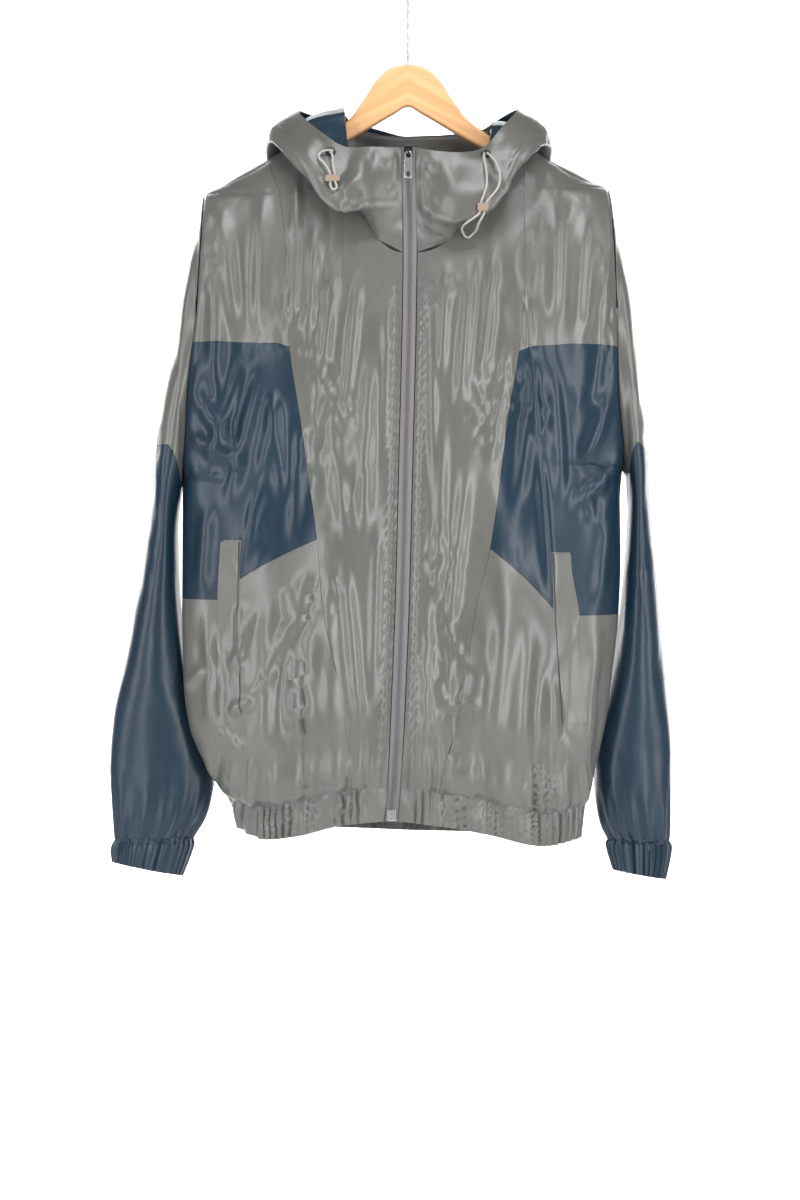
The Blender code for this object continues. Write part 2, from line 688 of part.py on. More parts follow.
def hood_neck(side, share):
    """The hood's edge at the neckline. share runs from the zip (0) by the shoulder (1) to the back (2)."""
    step = int(np.clip(np.searchsorted(HOOD_CORNERS, share, side="right") - 1, 0, len(HOOD_CORNERS) - 2))
    low, high = HOOD_CORNERS[step : step + 2]
    part = (share - low) / (high - low)
    return neck_corner(side, low) * (1 - part) + neck_corner(side, high) * part


def hood_profile(side, section):
    """The points that a section's curve passes: neckline, near wall, three round the fold, far wall and edge."""
    keys = np.arange(len(HOOD[side]))
    row = rounded(keys, np.array(HOOD[side], float), np.array(section, float))
    share = float(hermite(keys, HOOD_NECK_SHARES, section))
    seam = hood_neck(side, share)
    fold = np.array([row[0], row[1], -row[2]])
    edge = np.array([row[3], row[4], -row[5]])
    away = fold - seam
    away[2] = 0
    away /= np.linalg.norm(away) + 1e-9
    size = np.linalg.norm(fold - edge)
    pouch = float(smoothstep(4.0, 6.0, section))
    front = float(smoothstep(0.3, 1.5, section))
    shoulder = float(smoothstep(2.0, 3.2, section) * smoothstep(5.0, 4.0, section))
    near = seam + (fold - seam) * 0.5 + np.array([0, 0, 1]) * (4 + 26 * pouch) * front + away * 10 * pouch
    near += np.array([0, -2, 3]) * shoulder
    far = fold + (edge - fold) * 0.5 + away * (0.12 * size) * front + np.array([0, 0, 3]) * shoulder
    # A fallen hood turns back on itself in a round fold, not in a sharp one.
    down, up = near - fold, far - fold
    down, up = down / np.linalg.norm(down), up / np.linalg.norm(up)
    under, over = fold + down * 7, fold + up * 7
    apart = (over - under) / np.linalg.norm(over - under) * 3.0 * (1 + down @ up) / 2
    return np.array([seam, near, under - apart, fold, over + apart, far, edge])


def hood_sections():
    """Sections at the neckline's corners, and between those that lie far apart."""
    fine = np.linspace(0, len(HOOD_NECK_SHARES) - 1, 701)
    share = hermite(np.arange(len(HOOD_NECK_SHARES)), HOOD_NECK_SHARES, fine)
    wanted = list(HOOD_CORNERS)
    wanted += [(a + b) / 2 for a, b in zip(HOOD_CORNERS, HOOD_CORNERS[1:]) if b - a > 0.1]
    return np.interp(sorted(wanted), share, fine)


PROFILE_AT = np.array([0.0, 0.22, 0.4, 0.46, 0.52, 0.75, 1.0])


def hood_grid(side, sections, shares):
    """Points and outward directions of the hood's surface, a row for each share of the way up."""
    sections, shares = np.asarray(sections, float), np.asarray(shares, float)

    def curves(at, up):
        return np.stack([rounded(PROFILE_AT, hood_profile(side, float(s)), up) for s in at], axis=1)

    here = curves(sections, shares)
    step = np.where(sections > len(HOOD[side]) - 1.05, -0.02, 0.02)
    over = (curves(sections + step, shares) - here) / step[None, :, None]
    rise = curves(sections, np.minimum(shares + 0.01, 1)) - curves(sections, np.maximum(shares - 0.01, 0))
    normal = np.cross(over, rise) * (-1 if side == "left" else 1)
    normal[:, sections > len(HOOD[side]) - 1 - 1e-6, 0] = 0
    return here, normal / (np.linalg.norm(normal, axis=-1, keepdims=True) + 1e-9)


def build_hood(paint):
    for side in SIDES:
        sections = hood_sections()
        points, normals = hood_grid(side, sections, HOOD_ROWS)
        for name, cloth, inner, outer in (
            ("hood", paint["shell"], 0.0, LINING),
            ("hood_lining", paint["lining"], -LAYER_GAP - LINING, -LAYER_GAP),
        ):
            sheet = Sheet()
            sheet.add(points, normals)
            sheet.trim().wall(f"{name}_{side}", cloth, inner, outer)


# ---------------------------------------------------------------- pockets and zip

WELTS = {  # drop, inner x, outer x
    "left": ((632, -173, -192), (690, -175, -196), (745, -173, -197), (795, -171, -195)),
    "right": ((645, 148, 167), (692, 151, 171), (745, 154, 177), (801, 158, 184)),
}
WELT_OVER = 2.2  # the welt's inner face stands this far out from the body's


def over_body(side, x, drop):
    """Points and directions of the front at a grid of x and drop."""
    return grid_points(side, True, np.stack([angle_of(side, True, x, drop), drop], axis=-1))


def build_welts(paint):
    for side in SIDES:
        drop = np.linspace(WELTS[side][0][0], WELTS[side][-1][0], 11)[:, None]
        near, far = hermite(*column(WELTS[side], 0, 1), drop), hermite(*column(WELTS[side], 0, 2), drop)
        x = near + (far - near) * np.linspace(0, 1, 4)
        sheet = Sheet()
        sheet.add(*over_body(side, x, drop + 0 * x))
        sheet.wall(f"pocket_welt_{side}", paint["shell"], WELT_OVER, WELT_OVER + 1.0)


ZIP_TOP = 227
SLIDER_DROP = 232  # middle of the slider's body
TAPE_EDGE = 0.5
CHAIN_HALF = 2.2


def zip_line(drop):
    """The zip's middle line: on the body's front, then up the front of the hood."""
    body = body_point("left", True, np.zeros_like(drop), np.maximum(drop, NECK_FRONT_DROP))
    profile = rounded(PROFILE_AT, hood_profile("left", 0.0), np.linspace(1, 0, 25))
    hood_y = np.interp(drop, -profile[:, 2], profile[:, 1])
    body[:, 1] = np.where(drop < NECK_FRONT_DROP, hood_y, body[:, 1])
    body[:, 0] = zip_x(drop)
    body[:, 2] = np.where(drop < NECK_FRONT_DROP, -drop, body[:, 2])
    return body


def build_zip(paint):
    drop = np.concatenate([np.linspace(ZIP_TOP, 334, 7), np.linspace(334, HEM, 25)[1:]])
    line = zip_line(drop)
    tangent = np.gradient(line, axis=0)
    normal = np.cross(tangent, np.array([1.0, 0, 0]))
    normal /= np.linalg.norm(normal, axis=1, keepdims=True)
    for side, sign in (("left", -1), ("right", 1)):
        sheet = Sheet()
        offsets = np.array([TAPE_EDGE, ZIP_HALF - 0.8]) * sign
        strip = line[:, None, :] + offsets[None, :, None] * np.array([1.0, 0, 0])
        sheet.add(strip, np.repeat(normal[:, None, :], 2, axis=1))
        sheet.wall(f"zip_tape_{side}", paint["tape"], -0.4, 0.6)
    sheet = Sheet()
    low = drop > SLIDER_DROP + 9
    strip = line[low][:, None, :] + np.array([-CHAIN_HALF, CHAIN_HALF])[None, :, None] * np.array([1.0, 0, 0])
    strip[0, :, 2] = -(SLIDER_DROP + 8.5)
    sheet.add(strip, np.repeat(normal[low][:, None, :], 2, axis=1))
    sheet.wall("zip_chain", paint["tape"], 0.9, 2.5)


def cylinder(name, centre, radius, length, axis, surface=None, segments=24):
    """A cylinder along X, Y or Z about its centre, in millimetres."""
    turn = {"x": Matrix.Rotation(math.pi / 2, 3, "Y"), "y": Matrix.Rotation(math.pi / 2, 3, "X"), "z": Matrix.Identity(3)}[axis]
    ring = [(radius * math.cos(2 * math.pi * i / segments), radius * math.sin(2 * math.pi * i / segments)) for i in range(segments)]
    points = [Vector(centre) + turn @ Vector((a, b, h)) for h in (-length / 2, length / 2) for a, b in ring]
    faces = [list(range(segments))[::-1], list(range(segments, 2 * segments))]
    faces += [[i, (i + 1) % segments, (i + 1) % segments + segments, i + segments] for i in range(segments)]
    made = new_mesh(name, points, faces, surface or bpy.data.materials[0])
    face_out(made)
    return made


def boolean(target, operation, other):
    step = target.modifiers.new(operation.title(), "BOOLEAN")
    step.operation = operation
    step.object = other
    step.solver = "EXACT"
    other.hide_render = True
    other.hide_set(True)
    return target


def rounded_outline(half_width, top, bottom, corner, steps=5):
    """(x, drop) of an upright rectangle with round corners, about x = 0."""
    out = []
    for cx, cd, start in (
        (half_width - corner, bottom - corner, 0), (-half_width + corner, bottom - corner, 90),
        (-half_width + corner, top + corner, 180), (half_width - corner, top + corner, 270),
    ):  # fmt: skip
        for i in range(steps + 1):
            a = math.radians(start + 90 * i / steps)
            out.append((cx + corner * math.cos(a), cd + corner * math.sin(a)))
    return out


PULL_OUT = 6.9  # how far the pull's axis stands out from the zip's line
PULL_DROP = 233.0


def build_slider(paint):
    x = float(zip_x(SLIDER_DROP))
    y = float(zip_line(np.array([float(SLIDER_DROP)]))[0, 1])

    def at(outline):
        return [(x + px, pd) for px, pd in outline]

    body = extruded("zip_slider", at(rounded_outline(4.6, 225.2, 239.8, 2.2)), y - 4.4, y - 1.0, paint["black"], 0.5)
    lug = cylinder("lug", (x, y - PULL_OUT, -PULL_DROP), 3.0, 2.4, "x")
    boolean(body, "UNION", lug)
    boolean(body, "DIFFERENCE", cylinder("lug_hole", (x, y - PULL_OUT, -PULL_DROP), 1.5, 4, "x"))
    pull = extruded(
        "zip_pull", rounded_outline(3.9, -0.8, 259.5 - PULL_DROP, 2.6), -0.8, 0.8, paint["metal"], 0.3
    )
    pull.location = Vector((x, y - PULL_OUT, -PULL_DROP)) * MM
    for name, outline in (
        ("pull_eye", rounded_outline(2.3, PULL_DROP + 0.8, PULL_DROP + 5.4, 1.2)),
        ("pull_ring", rounded_outline(2.2, 252.4, 257.6, 2.1)),
    ):
        cut = extruded(name, at(outline), y - PULL_OUT - 3, y - PULL_OUT + 3, paint["metal"])
        boolean(pull, "DIFFERENCE", cut)
    x = float(zip_x(HEM - 6))
    end = zip_line(np.array([float(HEM - 6)]))[0]
    extruded(
        "zip_box", [(x + px, pd) for px, pd in rounded_outline(4.2, HEM - 12, HEM - 1, 0.8)], end[1] - 4.6, end[1] - 2.9,
        paint["black"], 0.3,
    )  # fmt: skip


# ---------------------------------------------------------------- eyelets, drawcords and stoppers

EYELET_AT = {"left": (-80, 233.5), "right": (80, 235.6)}
EYELET_OUT = 2.2  # from the hood's inner surface to the eyelet's back
EYELET_SPREAD = 1.5  # half the distance between the two strands in the eyelet
CORD_RADIUS = 1.15
CORD_OUT = 4.2
# The two strands leave the eyelet, run through the stopper and meet in the loop below it: x and drop.
CORDS = {
    "left": (
        (-86.5, 232.6), (-91.0, 235.5), (-91.0, 240.0), (-86.5, 245.0), (-82.6, 250.5), (-80.0, 256.0),
        (-79.6, 261.0), (-79.4, 266.0), (-79.2, 270.0), (-76.6, 273.6), (-73.4, 272.4), (-73.2, 269.0),
        (-74.6, 266.0), (-74.8, 261.0), (-75.2, 256.0), (-76.6, 249.0), (-77.2, 242.0), (-77.2, 238.6),
    ),
    "right": (
        (77.6, 240.0), (79.2, 249.0), (80.2, 260.0), (79.4, 272.0), (76.2, 281.0), (74.2, 287.0), (73.8, 292.0),
        (73.2, 297.0), (67.6, 302.4), (60.0, 307.5), (56.6, 314.5), (60.8, 319.4), (67.0, 315.0), (72.8, 306.5),
        (77.4, 298.0), (78.4, 292.0), (79.4, 287.0), (84.0, 281.0), (90.5, 273.0), (94.0, 262.0), (92.0, 250.5),
        (88.0, 241.5), (85.0, 238.0),
    ),
}  # fmt: skip
STOPPERS = {"left": {"x": -77.2, "drop": 262.0, "half": 7.5, "height": 6.4}, "right": {"x": 76.2, "drop": 291.8, "half": 5.6, "height": 8.4}}


def hood_front(side, x, drop):
    """Point and outward direction of the hood's front under a given x and drop."""
    points, normals = hood_grid(side, np.linspace(0.3, 3.6, 67), np.linspace(0.3, 1, 57))
    away = np.hypot(points[..., 0] - x, points[..., 2] + drop) + np.where(normals[..., 1] < 0, 0, 1e3)
    best = np.unravel_index(np.argmin(away), away.shape)
    return points[best], normals[best]


def front_cover(side):
    """Points of all that a cord hangs in front of."""
    hood, _ = hood_grid(side, np.linspace(0, 4, 81), np.linspace(0, 1, 57))
    sign = -1 if side == "left" else 1
    x, drop = np.meshgrid(sign * np.arange(24, 116, 3.0), np.arange(250, 345, 3.0))
    body, _ = over_body(side, x, drop)
    return np.vstack([hood.reshape(-1, 3), body.reshape(-1, 3)])


def ring_mesh(name, centre, normal, inner, outer, thickness, surface, segments=20):
    """A flat ring whose back stands on the centre."""
    turn = Vector((0, 0, 1)).rotation_difference(Vector(normal)).to_matrix()
    section = ((inner, 0), (outer, 0), (outer, thickness * 0.6), (outer - 0.8, thickness), (inner + 0.8, thickness), (inner, thickness * 0.6))
    count = len(section)
    points, faces = [], []
    for i in range(segments):
        a = 2 * math.pi * i / segments
        for r, h in section:
            points.append(Vector(centre) + turn @ Vector((r * math.cos(a), r * math.sin(a), h)))
        for k in range(count):
            j, n = (i + 1) % segments * count, (k + 1) % count
            faces.append([i * count + k, j + k, j + n, i * count + n])
    made = new_mesh(name, points, faces, surface)
    face_out(made)
    return made


def smooth_path(rows, steps):
    """Points evenly along a round curve through the rows."""
    rows = np.array(rows, float)
    along = np.concatenate([[0], np.cumsum(np.linalg.norm(np.diff(rows, axis=0), axis=1))])
    fine = rounded(along, rows, np.linspace(0, along[-1], steps * 8))
    run = np.concatenate([[0], np.cumsum(np.linalg.norm(np.diff(fine, axis=0), axis=1))])
    return np.stack([np.interp(np.linspace(0, run[-1], steps), run, fine[:, k]) for k in range(3)], axis=1)


def tube_mesh(name, path, radius, surface, segments=12):
    """A swept tube with flat ends, for hooks and for the stoppers' channels."""
    path = np.asarray(path, float)
    tangent = np.gradient(path, axis=0)
    tangent /= np.linalg.norm(tangent, axis=1, keepdims=True)
    side = np.cross(tangent[0], [0.0, 1.0, 0.0] if abs(tangent[0][1]) < 0.8 else [1.0, 0.0, 0.0])
    points, faces = [], []
    for i, (here, way) in enumerate(zip(path, tangent)):
        side = side - way * (side @ way)
        side /= np.linalg.norm(side)
        other = np.cross(way, side)
        for k in range(segments):
            a = 2 * math.pi * k / segments
            points.append(here + radius * (side * math.cos(a) + other * math.sin(a)))
        if i:
            for k in range(segments):
                n = (k + 1) % segments
                faces.append([(i - 1) * segments + k, (i - 1) * segments + n, i * segments + n, i * segments + k])
    last = (len(path) - 1) * segments
    faces += [list(range(segments))[::-1], [last + k for k in range(segments)]]
    made = new_mesh(name, points, faces, surface)
    face_out(made)
    return made


def eyelet_centre(side):
    here, normal = hood_front(side, *EYELET_AT[side])
    return np.array([EYELET_AT[side][0], here[1], -EYELET_AT[side][1]]) + normal * EYELET_OUT, normal


def cord_path(side):
    cover = front_cover(side)
    centre, normal = eyelet_centre(side)
    rows = []
    for x, drop in CORDS[side]:
        near = np.hypot(cover[:, 0] - x, cover[:, 2] + drop) < 8
        rows.append(np.array([x, cover[near, 1].min() - CORD_OUT, -drop]))
    ends = []
    for sign in (1, -1):
        start = centre + np.array([EYELET_SPREAD * (sign if side == "right" else -sign) * -1, 0, 0]) + normal * 0.4
        ends.append([start, start + normal * 2.2])
    path = [*ends[0], *rows, *ends[1][::-1]]
    return smooth_path(path, 72)


def curve_cord(name, path, radius, surface):
    curve = bpy.data.curves.new(name, "CURVE")
    curve.dimensions = "3D"
    curve.bevel_depth = radius * MM
    curve.bevel_resolution = 2
    curve.use_fill_caps = True
    line = curve.splines.new("POLY")
    line.points.add(len(path) - 1)
    for point, co in zip(line.points, path):
        point.co = (*(float(c) * MM for c in co), 1)
    curve.materials.append(surface)
    made = bpy.data.objects.new(name, curve)
    bpy.context.scene.collection.objects.link(made)
    return made


def build_cords(paint):
    for side in SIDES:
        centre, normal = eyelet_centre(side)
        ring_mesh(f"eyelet_{side}", centre, normal, 3.3, 5.2, 1.3, paint["black"])
        path = cord_path(side)
        curve_cord(f"drawcord_{side}", path, CORD_RADIUS, paint["cord"])
        spec = STOPPERS[side]
        middle = path[np.argsort(np.abs(path[:, 2] + spec["drop"]) + np.abs(path[:, 0] - spec["x"]) * 0.2)[:2]].mean(axis=0)
        outline = rounded_outline(spec["half"], spec["drop"] - spec["height"] / 2, spec["drop"] + spec["height"] / 2, 1.8)
        block = extruded(
            f"cord_stopper_{side}", [(spec["x"] + px, pd) for px, pd in outline], middle[1] - 2.6, middle[1] + 2.4,
            paint["stopper"], 0.6,
        )  # fmt: skip
        boolean(block, "DIFFERENCE", tube_mesh(f"channel_{side}", path, CORD_RADIUS + 0.4, paint["cord"]))


# ---------------------------------------------------------------- hanger

HANGER_THICK = 12.0
HANGER_TOP = ((0, 130.6), (18, 134), (33, 147), (43, 162), (52, 175))  # x, drop, to either side
ARM_TOP = ((59, 185), (85, 205), (115, 223), (150, 242), (188, 262.5))
ARM_TIP = 200
ARM_FOOT = ((183, 276), (60, 209), (14, 182))  # the arm's underside, x and drop, from the tip back to the middle
APEX = 174.7
HOOK_RADIUS, HOOK_MIDDLE, HOOK_NECK, HOOK_TURN, HOOK_WIRE = 24.0, 21.8, 12.5, 70.0, 2.2


def hanger_outline():
    x, drop = ARM_TOP[-1]
    half = [*HANGER_TOP, *ARM_TOP, (ARM_TIP - 4, drop + 6), (ARM_TIP, drop + 13), (ARM_TIP - 4, drop + 18), (x, drop + 18.6)]
    half += ARM_FOOT
    return half + [(0, APEX)] + [(-x, d) for x, d in half[:0:-1]]


def hook_path():
    """x and z of the wire's middle, from the shaft's foot to the tip."""
    turn = math.radians(HOOK_TURN)
    start = -HOOK_MIDDLE - HOOK_RADIUS * math.cos(turn) - HOOK_NECK * math.sin(turn)
    path = [(0, 0, z) for z in np.linspace(-(HANGER_TOP[0][1] + 17), start, 6)[:-1]]
    path += [(HOOK_NECK * (1 - math.cos(a)), 0, start + HOOK_NECK * math.sin(a)) for a in np.linspace(0, turn, 7)[:-1]]
    meets = turn - math.radians(140)  # where the neck's arc runs into the big one: 20 degrees past straight down
    for a in np.linspace(meets, math.radians(205), 26):
        path.append((HOOK_RADIUS * math.cos(a), 0, -HOOK_MIDDLE + HOOK_RADIUS * math.sin(a)))
    return path


def build_hanger(paint):
    body = extruded("hanger_body", hanger_outline(), -HANGER_THICK / 2, HANGER_THICK / 2, paint["wood"], 3.0)
    drill = cylinder("drill", (0, 0, -(HANGER_TOP[0][1] + 6)), HOOK_WIRE + 0.3, 24, "z")
    boolean(body, "DIFFERENCE", drill)
    tube_mesh("hanger_hook", hook_path(), HOOK_WIRE, paint["metal"], 16)


def build():
    for old in list(bpy.data.objects):
        bpy.data.objects.remove(old)
    paint = main_materials()
    build_body(paint)
    build_sleeves(paint)
    build_hood(paint)
    build_welts(paint)
    build_zip(paint)
    build_slider(paint)
    build_cords(paint)
    build_hanger(paint)


build()
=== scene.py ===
"""Looks for the hooded windbreaker jacket on its wooden hanger.

The cloth is remeshed finely on the same form as the solid panels, creased, gathered and stitched; the sizes below
are in millimetres until mesh_object() makes metres. "drop" is the distance below the hook's inside top, z = -drop,
and -Y is towards the viewer. "left" and "right" are as seen from the front.
"""

import math

import bmesh
import bpy
import numpy as np
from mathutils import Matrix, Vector

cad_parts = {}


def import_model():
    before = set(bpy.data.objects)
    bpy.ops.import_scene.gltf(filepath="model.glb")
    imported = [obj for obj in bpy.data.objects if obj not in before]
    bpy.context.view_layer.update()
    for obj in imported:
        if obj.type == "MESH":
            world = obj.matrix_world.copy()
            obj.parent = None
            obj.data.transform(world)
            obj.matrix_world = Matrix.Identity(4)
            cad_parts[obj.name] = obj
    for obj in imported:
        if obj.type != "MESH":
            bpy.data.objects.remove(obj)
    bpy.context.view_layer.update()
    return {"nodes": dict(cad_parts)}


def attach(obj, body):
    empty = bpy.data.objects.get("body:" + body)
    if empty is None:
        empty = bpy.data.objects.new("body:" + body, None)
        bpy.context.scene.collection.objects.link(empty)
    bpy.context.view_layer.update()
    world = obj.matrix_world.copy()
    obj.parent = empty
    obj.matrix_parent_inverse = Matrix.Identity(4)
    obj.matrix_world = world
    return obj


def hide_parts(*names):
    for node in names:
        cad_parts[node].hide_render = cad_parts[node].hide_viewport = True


MM = 0.001
SEAM_GAP = 0.3
CLOTH = 1.2  # wall of one layer of cloth
LINING = 1.0
LAYER_GAP = 0.4  # between the hood's shell and its lining
JOIN_CLEAR = 2.4  # where two walls meet at a right angle, as at the armhole and the neckline
SIDES = ("left", "right")
SIGN = {"left": -1, "right": 1}
WALL_IN = 0.1  # the inner face of a remade wall stands this far off the body's surface

# ---------------------------------------------------------------- the body's form

# Silhouette of the body: shoulder line down to drop 269, then armhole, then side seam.
BODY_OUTLINE = {
    "left": (  # drop, x
        (184, -66), (205, -102), (234, -152), (258, -194), (269, -211), (335, -215), (398, -219), (461, -227),
        (524, -232), (566, -235), (692, -236), (776, -234), (818, -228), (855, -212), (881, -196), (899, -184),
        (922, -180), (945, -176),
    ),
    "right": (
        (199, 87), (214, 115), (232, 150), (254, 192), (262, 207), (325, 213), (425, 216), (482, 218),
        (545, 224), (587, 221), (650, 222), (704, 220), (755, 214), (797, 208), (839, 198), (871, 190),
        (894, 184), (922, 181), (950, 178),
    ),
}  # fmt: skip
BODY_DEPTH = (  # drop, front, back
    (184, 28, 24), (230, 33, 28), (269, 42, 33), (335, 54, 38), (425, 62, 42), (550, 68, 45), (690, 73, 49),
    (800, 75, 50), (860, 66, 45), (900, 54, 38), (950, 50, 36),
)  # fmt: skip
SECTION_POWER = 2.6  # how square a level section of the body is
ZIP_PATH = (  # drop, x
    (227, 0), (334, 2), (410, 1), (530, -2), (692, -6), (795, -10), (860, -13), (950, -20),
)  # fmt: skip
ARMHOLE = {  # drop of the top and of the underarm, and the half width to the front and to the back
    "left": {"top": 269, "underarm": 560, "front": 34, "back": 30},
    "right": {"top": 262, "underarm": 552, "front": 34, "back": 30},
}
NECK = {  # where the neckline crosses the shoulder line
    "left": {"x": -66, "drop": 184},
    "right": {"x": 87, "drop": 199},
}
NECK_FRONT_DROP = 334
NECK_BACK_DIP = 14
HEM_SAG = (  # share of the half width from the centre, how far the hem hangs below its level
    (-1.0, 8), (-0.8, 20), (-0.6, 16), (-0.3, 4), (0.0, 0), (0.25, 5), (0.5, 14), (0.8, 27), (1.0, 20),
)  # fmt: skip
BACK_SAG = (8, 16, 20)  # the same behind, at the left side, the middle and the right side
SAG_FROM, SAG_TO = 640, 890
ZIP_HALF = 7.5  # the front edges stand this far from the zip's middle line
BAND_TOP, HEM = 886, 921

# Creases: a ridge (height > 0) or a trough along a line from (x, drop) to (x, drop), with a half width.
FOLDS = (  # x0, drop0, x1, drop1, half width, height
    (-128, 436, -172, 664, 26, 9),
    (124, 330, 146, 690, 24, 8),
    (-170, 300, -182, 560, 16, -7),
    (-88, 560, -82, 880, 22, 6),
    (-30, 380, -60, 860, 26, 4),
    (52, 300, 78, 620, 22, 5),
    (98, 640, 112, 870, 22, 7),
    (150, 720, 128, 885, 18, -6),
    (-190, 700, -128, 885, 20, 6),
)
BACK_FOLDS = (
    (-120, 330, -70, 760, 30, 7),
    (20, 300, -12, 800, 30, 6),
    (104, 320, 132, 820, 28, 7),
    (-150, 640, -120, 880, 22, 5),
    (60, 640, 70, 880, 22, -5),
)
GATHERS = {"pitch": 46.0, "height": 3.2, "from": 800}  # puckers that run up from the hem band


def interval(keys, at):
    """The table's row below each value."""
    return np.clip(np.searchsorted(keys, at, side="right") - 1, 0, len(keys) - 2)


def cubic(values, tangent, i, h, u):
    """Curve from row i to the next, h further on, at a share u of the way."""
    return (
        values[i] * (1 + 2 * u) * (1 - u) ** 2
        + values[i + 1] * u * u * (3 - 2 * u)
        + tangent[i] * h * u * (1 - u) ** 2
        - tangent[i + 1] * h * u * u * (1 - u)
    )


def hermite(keys, values, at):
    """Smooth curve through a table's rows, with no overshoot: values may have several columns."""
    keys, values, at = np.asarray(keys, float), np.asarray(values, float), np.asarray(at, float)
    values = values.reshape(len(keys), -1)
    step = np.diff(keys)[:, None]
    slope = np.diff(values, axis=0) / step
    inner = np.where(slope[:-1] * slope[1:] > 0, 2 * slope[:-1] * slope[1:] / (slope[:-1] + slope[1:] + 1e-12), 0)
    tangent = np.vstack([slope[:1], inner, slope[-1:]])
    at = np.clip(at, keys[0], keys[-1])
    i = interval(keys, at)
    h = step[i]
    out = cubic(values, tangent, i, h, (at - keys[i])[..., None] / h)
    return out[..., 0] if out.shape[-1] == 1 else out


def rounded(keys, values, at):
    """Rounder curve through a table's rows, for loops and tubes."""
    keys, values, at = np.asarray(keys, float), np.asarray(values, float), np.asarray(at, float)
    slope = np.diff(values, axis=0) / np.diff(keys)[:, None]
    tangent = np.vstack([slope[:1], (slope[:-1] + slope[1:]) / 2, slope[-1:]])
    i = interval(keys, at)
    h = (keys[i + 1] - keys[i])[..., None]
    return cubic(values, tangent, i, h, (at - keys[i])[..., None] / h)


def column(table, key, value):
    return [row[key] for row in table], [row[value] for row in table]


def run_along(path):
    """Distance along a path to each of its points."""
    return np.concatenate([[0], np.cumsum(np.linalg.norm(np.diff(path, axis=0), axis=1))])


def at_run(at, run, values):
    """Values that are known at the distances run, at other distances along the path."""
    return np.stack([np.interp(at, run, values[:, k]) for k in range(3)], axis=-1)


def smoothstep(a, b, x):
    u = np.clip((x - a) / (b - a), 0, 1)
    return u * u * (3 - 2 * u)


def side_x(side, drop):
    return hermite(*column(BODY_OUTLINE[side], 0, 1), drop)


def zip_x(drop):
    return hermite(*column(ZIP_PATH, 0, 1), drop)


def middle_x(front, drop):
    """The line that a level section is measured from: the zip in front, half way between the sides behind."""
    if front:
        return zip_x(drop)
    left, right = (side_x(side, np.maximum(drop, NECK[side]["drop"])) for side in SIDES)
    return (left + right) / 2


def armhole_span(side):
    """Drop of the armhole's middle, and half its height."""
    hole = ARMHOLE[side]
    return (hole["top"] + hole["underarm"]) / 2, (hole["underarm"] - hole["top"]) / 2


def armhole_y(side, front, drop):
    centre, half = armhole_span(side)
    share = np.clip((drop - centre) / half, -1, 1)
    return ARMHOLE[side]["front" if front else "back"] * np.sqrt(1 - share**2)


def angle_of(side, front, x, drop):
    """Where x lies on the level section: 0 at the middle line, a right angle at the side."""
    middle = middle_x(front, drop)
    return np.arcsin(np.clip((x - middle) / (side_x(side, drop) - middle), 0, 1))


def crease(folds, x, drop):
    height = np.zeros_like(x)
    for x0, d0, x1, d1, half, rise in folds:
        along = ((x - x0) * (x1 - x0) + (drop - d0) * (d1 - d0)) / ((x1 - x0) ** 2 + (d1 - d0) ** 2)
        away = np.hypot(x - x0 - along * (x1 - x0), drop - d0 - along * (d1 - d0))
        ends = smoothstep(-0.05, 0.3, along) * smoothstep(1.05, 0.7, along)
        height += rise * ends * np.exp(-((away / half) ** 2))
    return height


def body_point(side, front, angle, drop):
    """A point of the body's inner surface, from the angle on its level section and its level."""
    share = np.sin(angle)
    middle = middle_x(front, drop)
    x = middle + (side_x(side, drop) - middle) * share
    depth = hermite(*column(BODY_DEPTH, 0, 1 if front else 2), drop)
    edge = armhole_y(side, front, drop)
    fullness = np.sqrt(np.clip(1 - share**SECTION_POWER, 0, 1))
    depth = edge + (depth - edge) * fullness
    swing = GATHERS["height"] * smoothstep(GATHERS["from"], BAND_TOP, drop) * smoothstep(HEM, BAND_TOP, drop)
    depth += fullness * (
        crease(FOLDS if front else BACK_FOLDS, x, drop) + swing * np.sin(2 * math.pi * x / GATHERS["pitch"])
    )
    signed = SIGN[side] * share
    if front:
        sag = hermite(*column(HEM_SAG, 0, 1), signed)
    else:
        sag = np.interp(signed, (-1, 0, 1), BACK_SAG)
    hang = drop + sag * smoothstep(SAG_FROM, SAG_TO, drop)
    return np.stack([x, np.where(front, -1, 1) * depth, -hang], axis=-1)


# ---------------------------------------------------------------- the cut of the body

# Lines that run down the panels. The front ones are the zip edge, a line below the neck point, the long front
# seam, the pleat beside it, the pocket's line and the side; each is a short table of drop and x.
FRONT_LINES = {
    "left": {
        "neck": ((184, -66), (260, -66), (430, -64), (690, -48), (921, -38)),
        "seam": (
            (231, -147), (270, -134), (313, -128), (432, -122), (501, -112), (630, -94), (692, -88), (795, -68),
            (886, -58), (921, -56),
        ),
        "pleat": (
            (237, -158), (300, -146), (432, -134), (537, -147), (615, -165), (662, -173), (790, -162), (921, -112),
        ),
        "pocket": ((252, -182), (425, -180), (560, -186), (630, -190), (690, -195), (787, -200), (921, -152)),
    },
    "right": {
        "neck": ((199, 87), (260, 80), (430, 66), (690, 40), (921, 4)),
        "seam": (
            (216, 119), (316, 120), (377, 120), (437, 114), (502, 103), (640, 84), (693, 71), (795, 54),
            (874, 35), (921, 26),
        ),
        "pleat": (
            (226, 139), (300, 132), (430, 127), (495, 130), (580, 139), (642, 146), (698, 149), (800, 140), (921, 92),
        ),
        "pocket": ((244, 172), (425, 168), (560, 166), (643, 167), (704, 177), (800, 184), (921, 146)),
    },
}  # fmt: skip
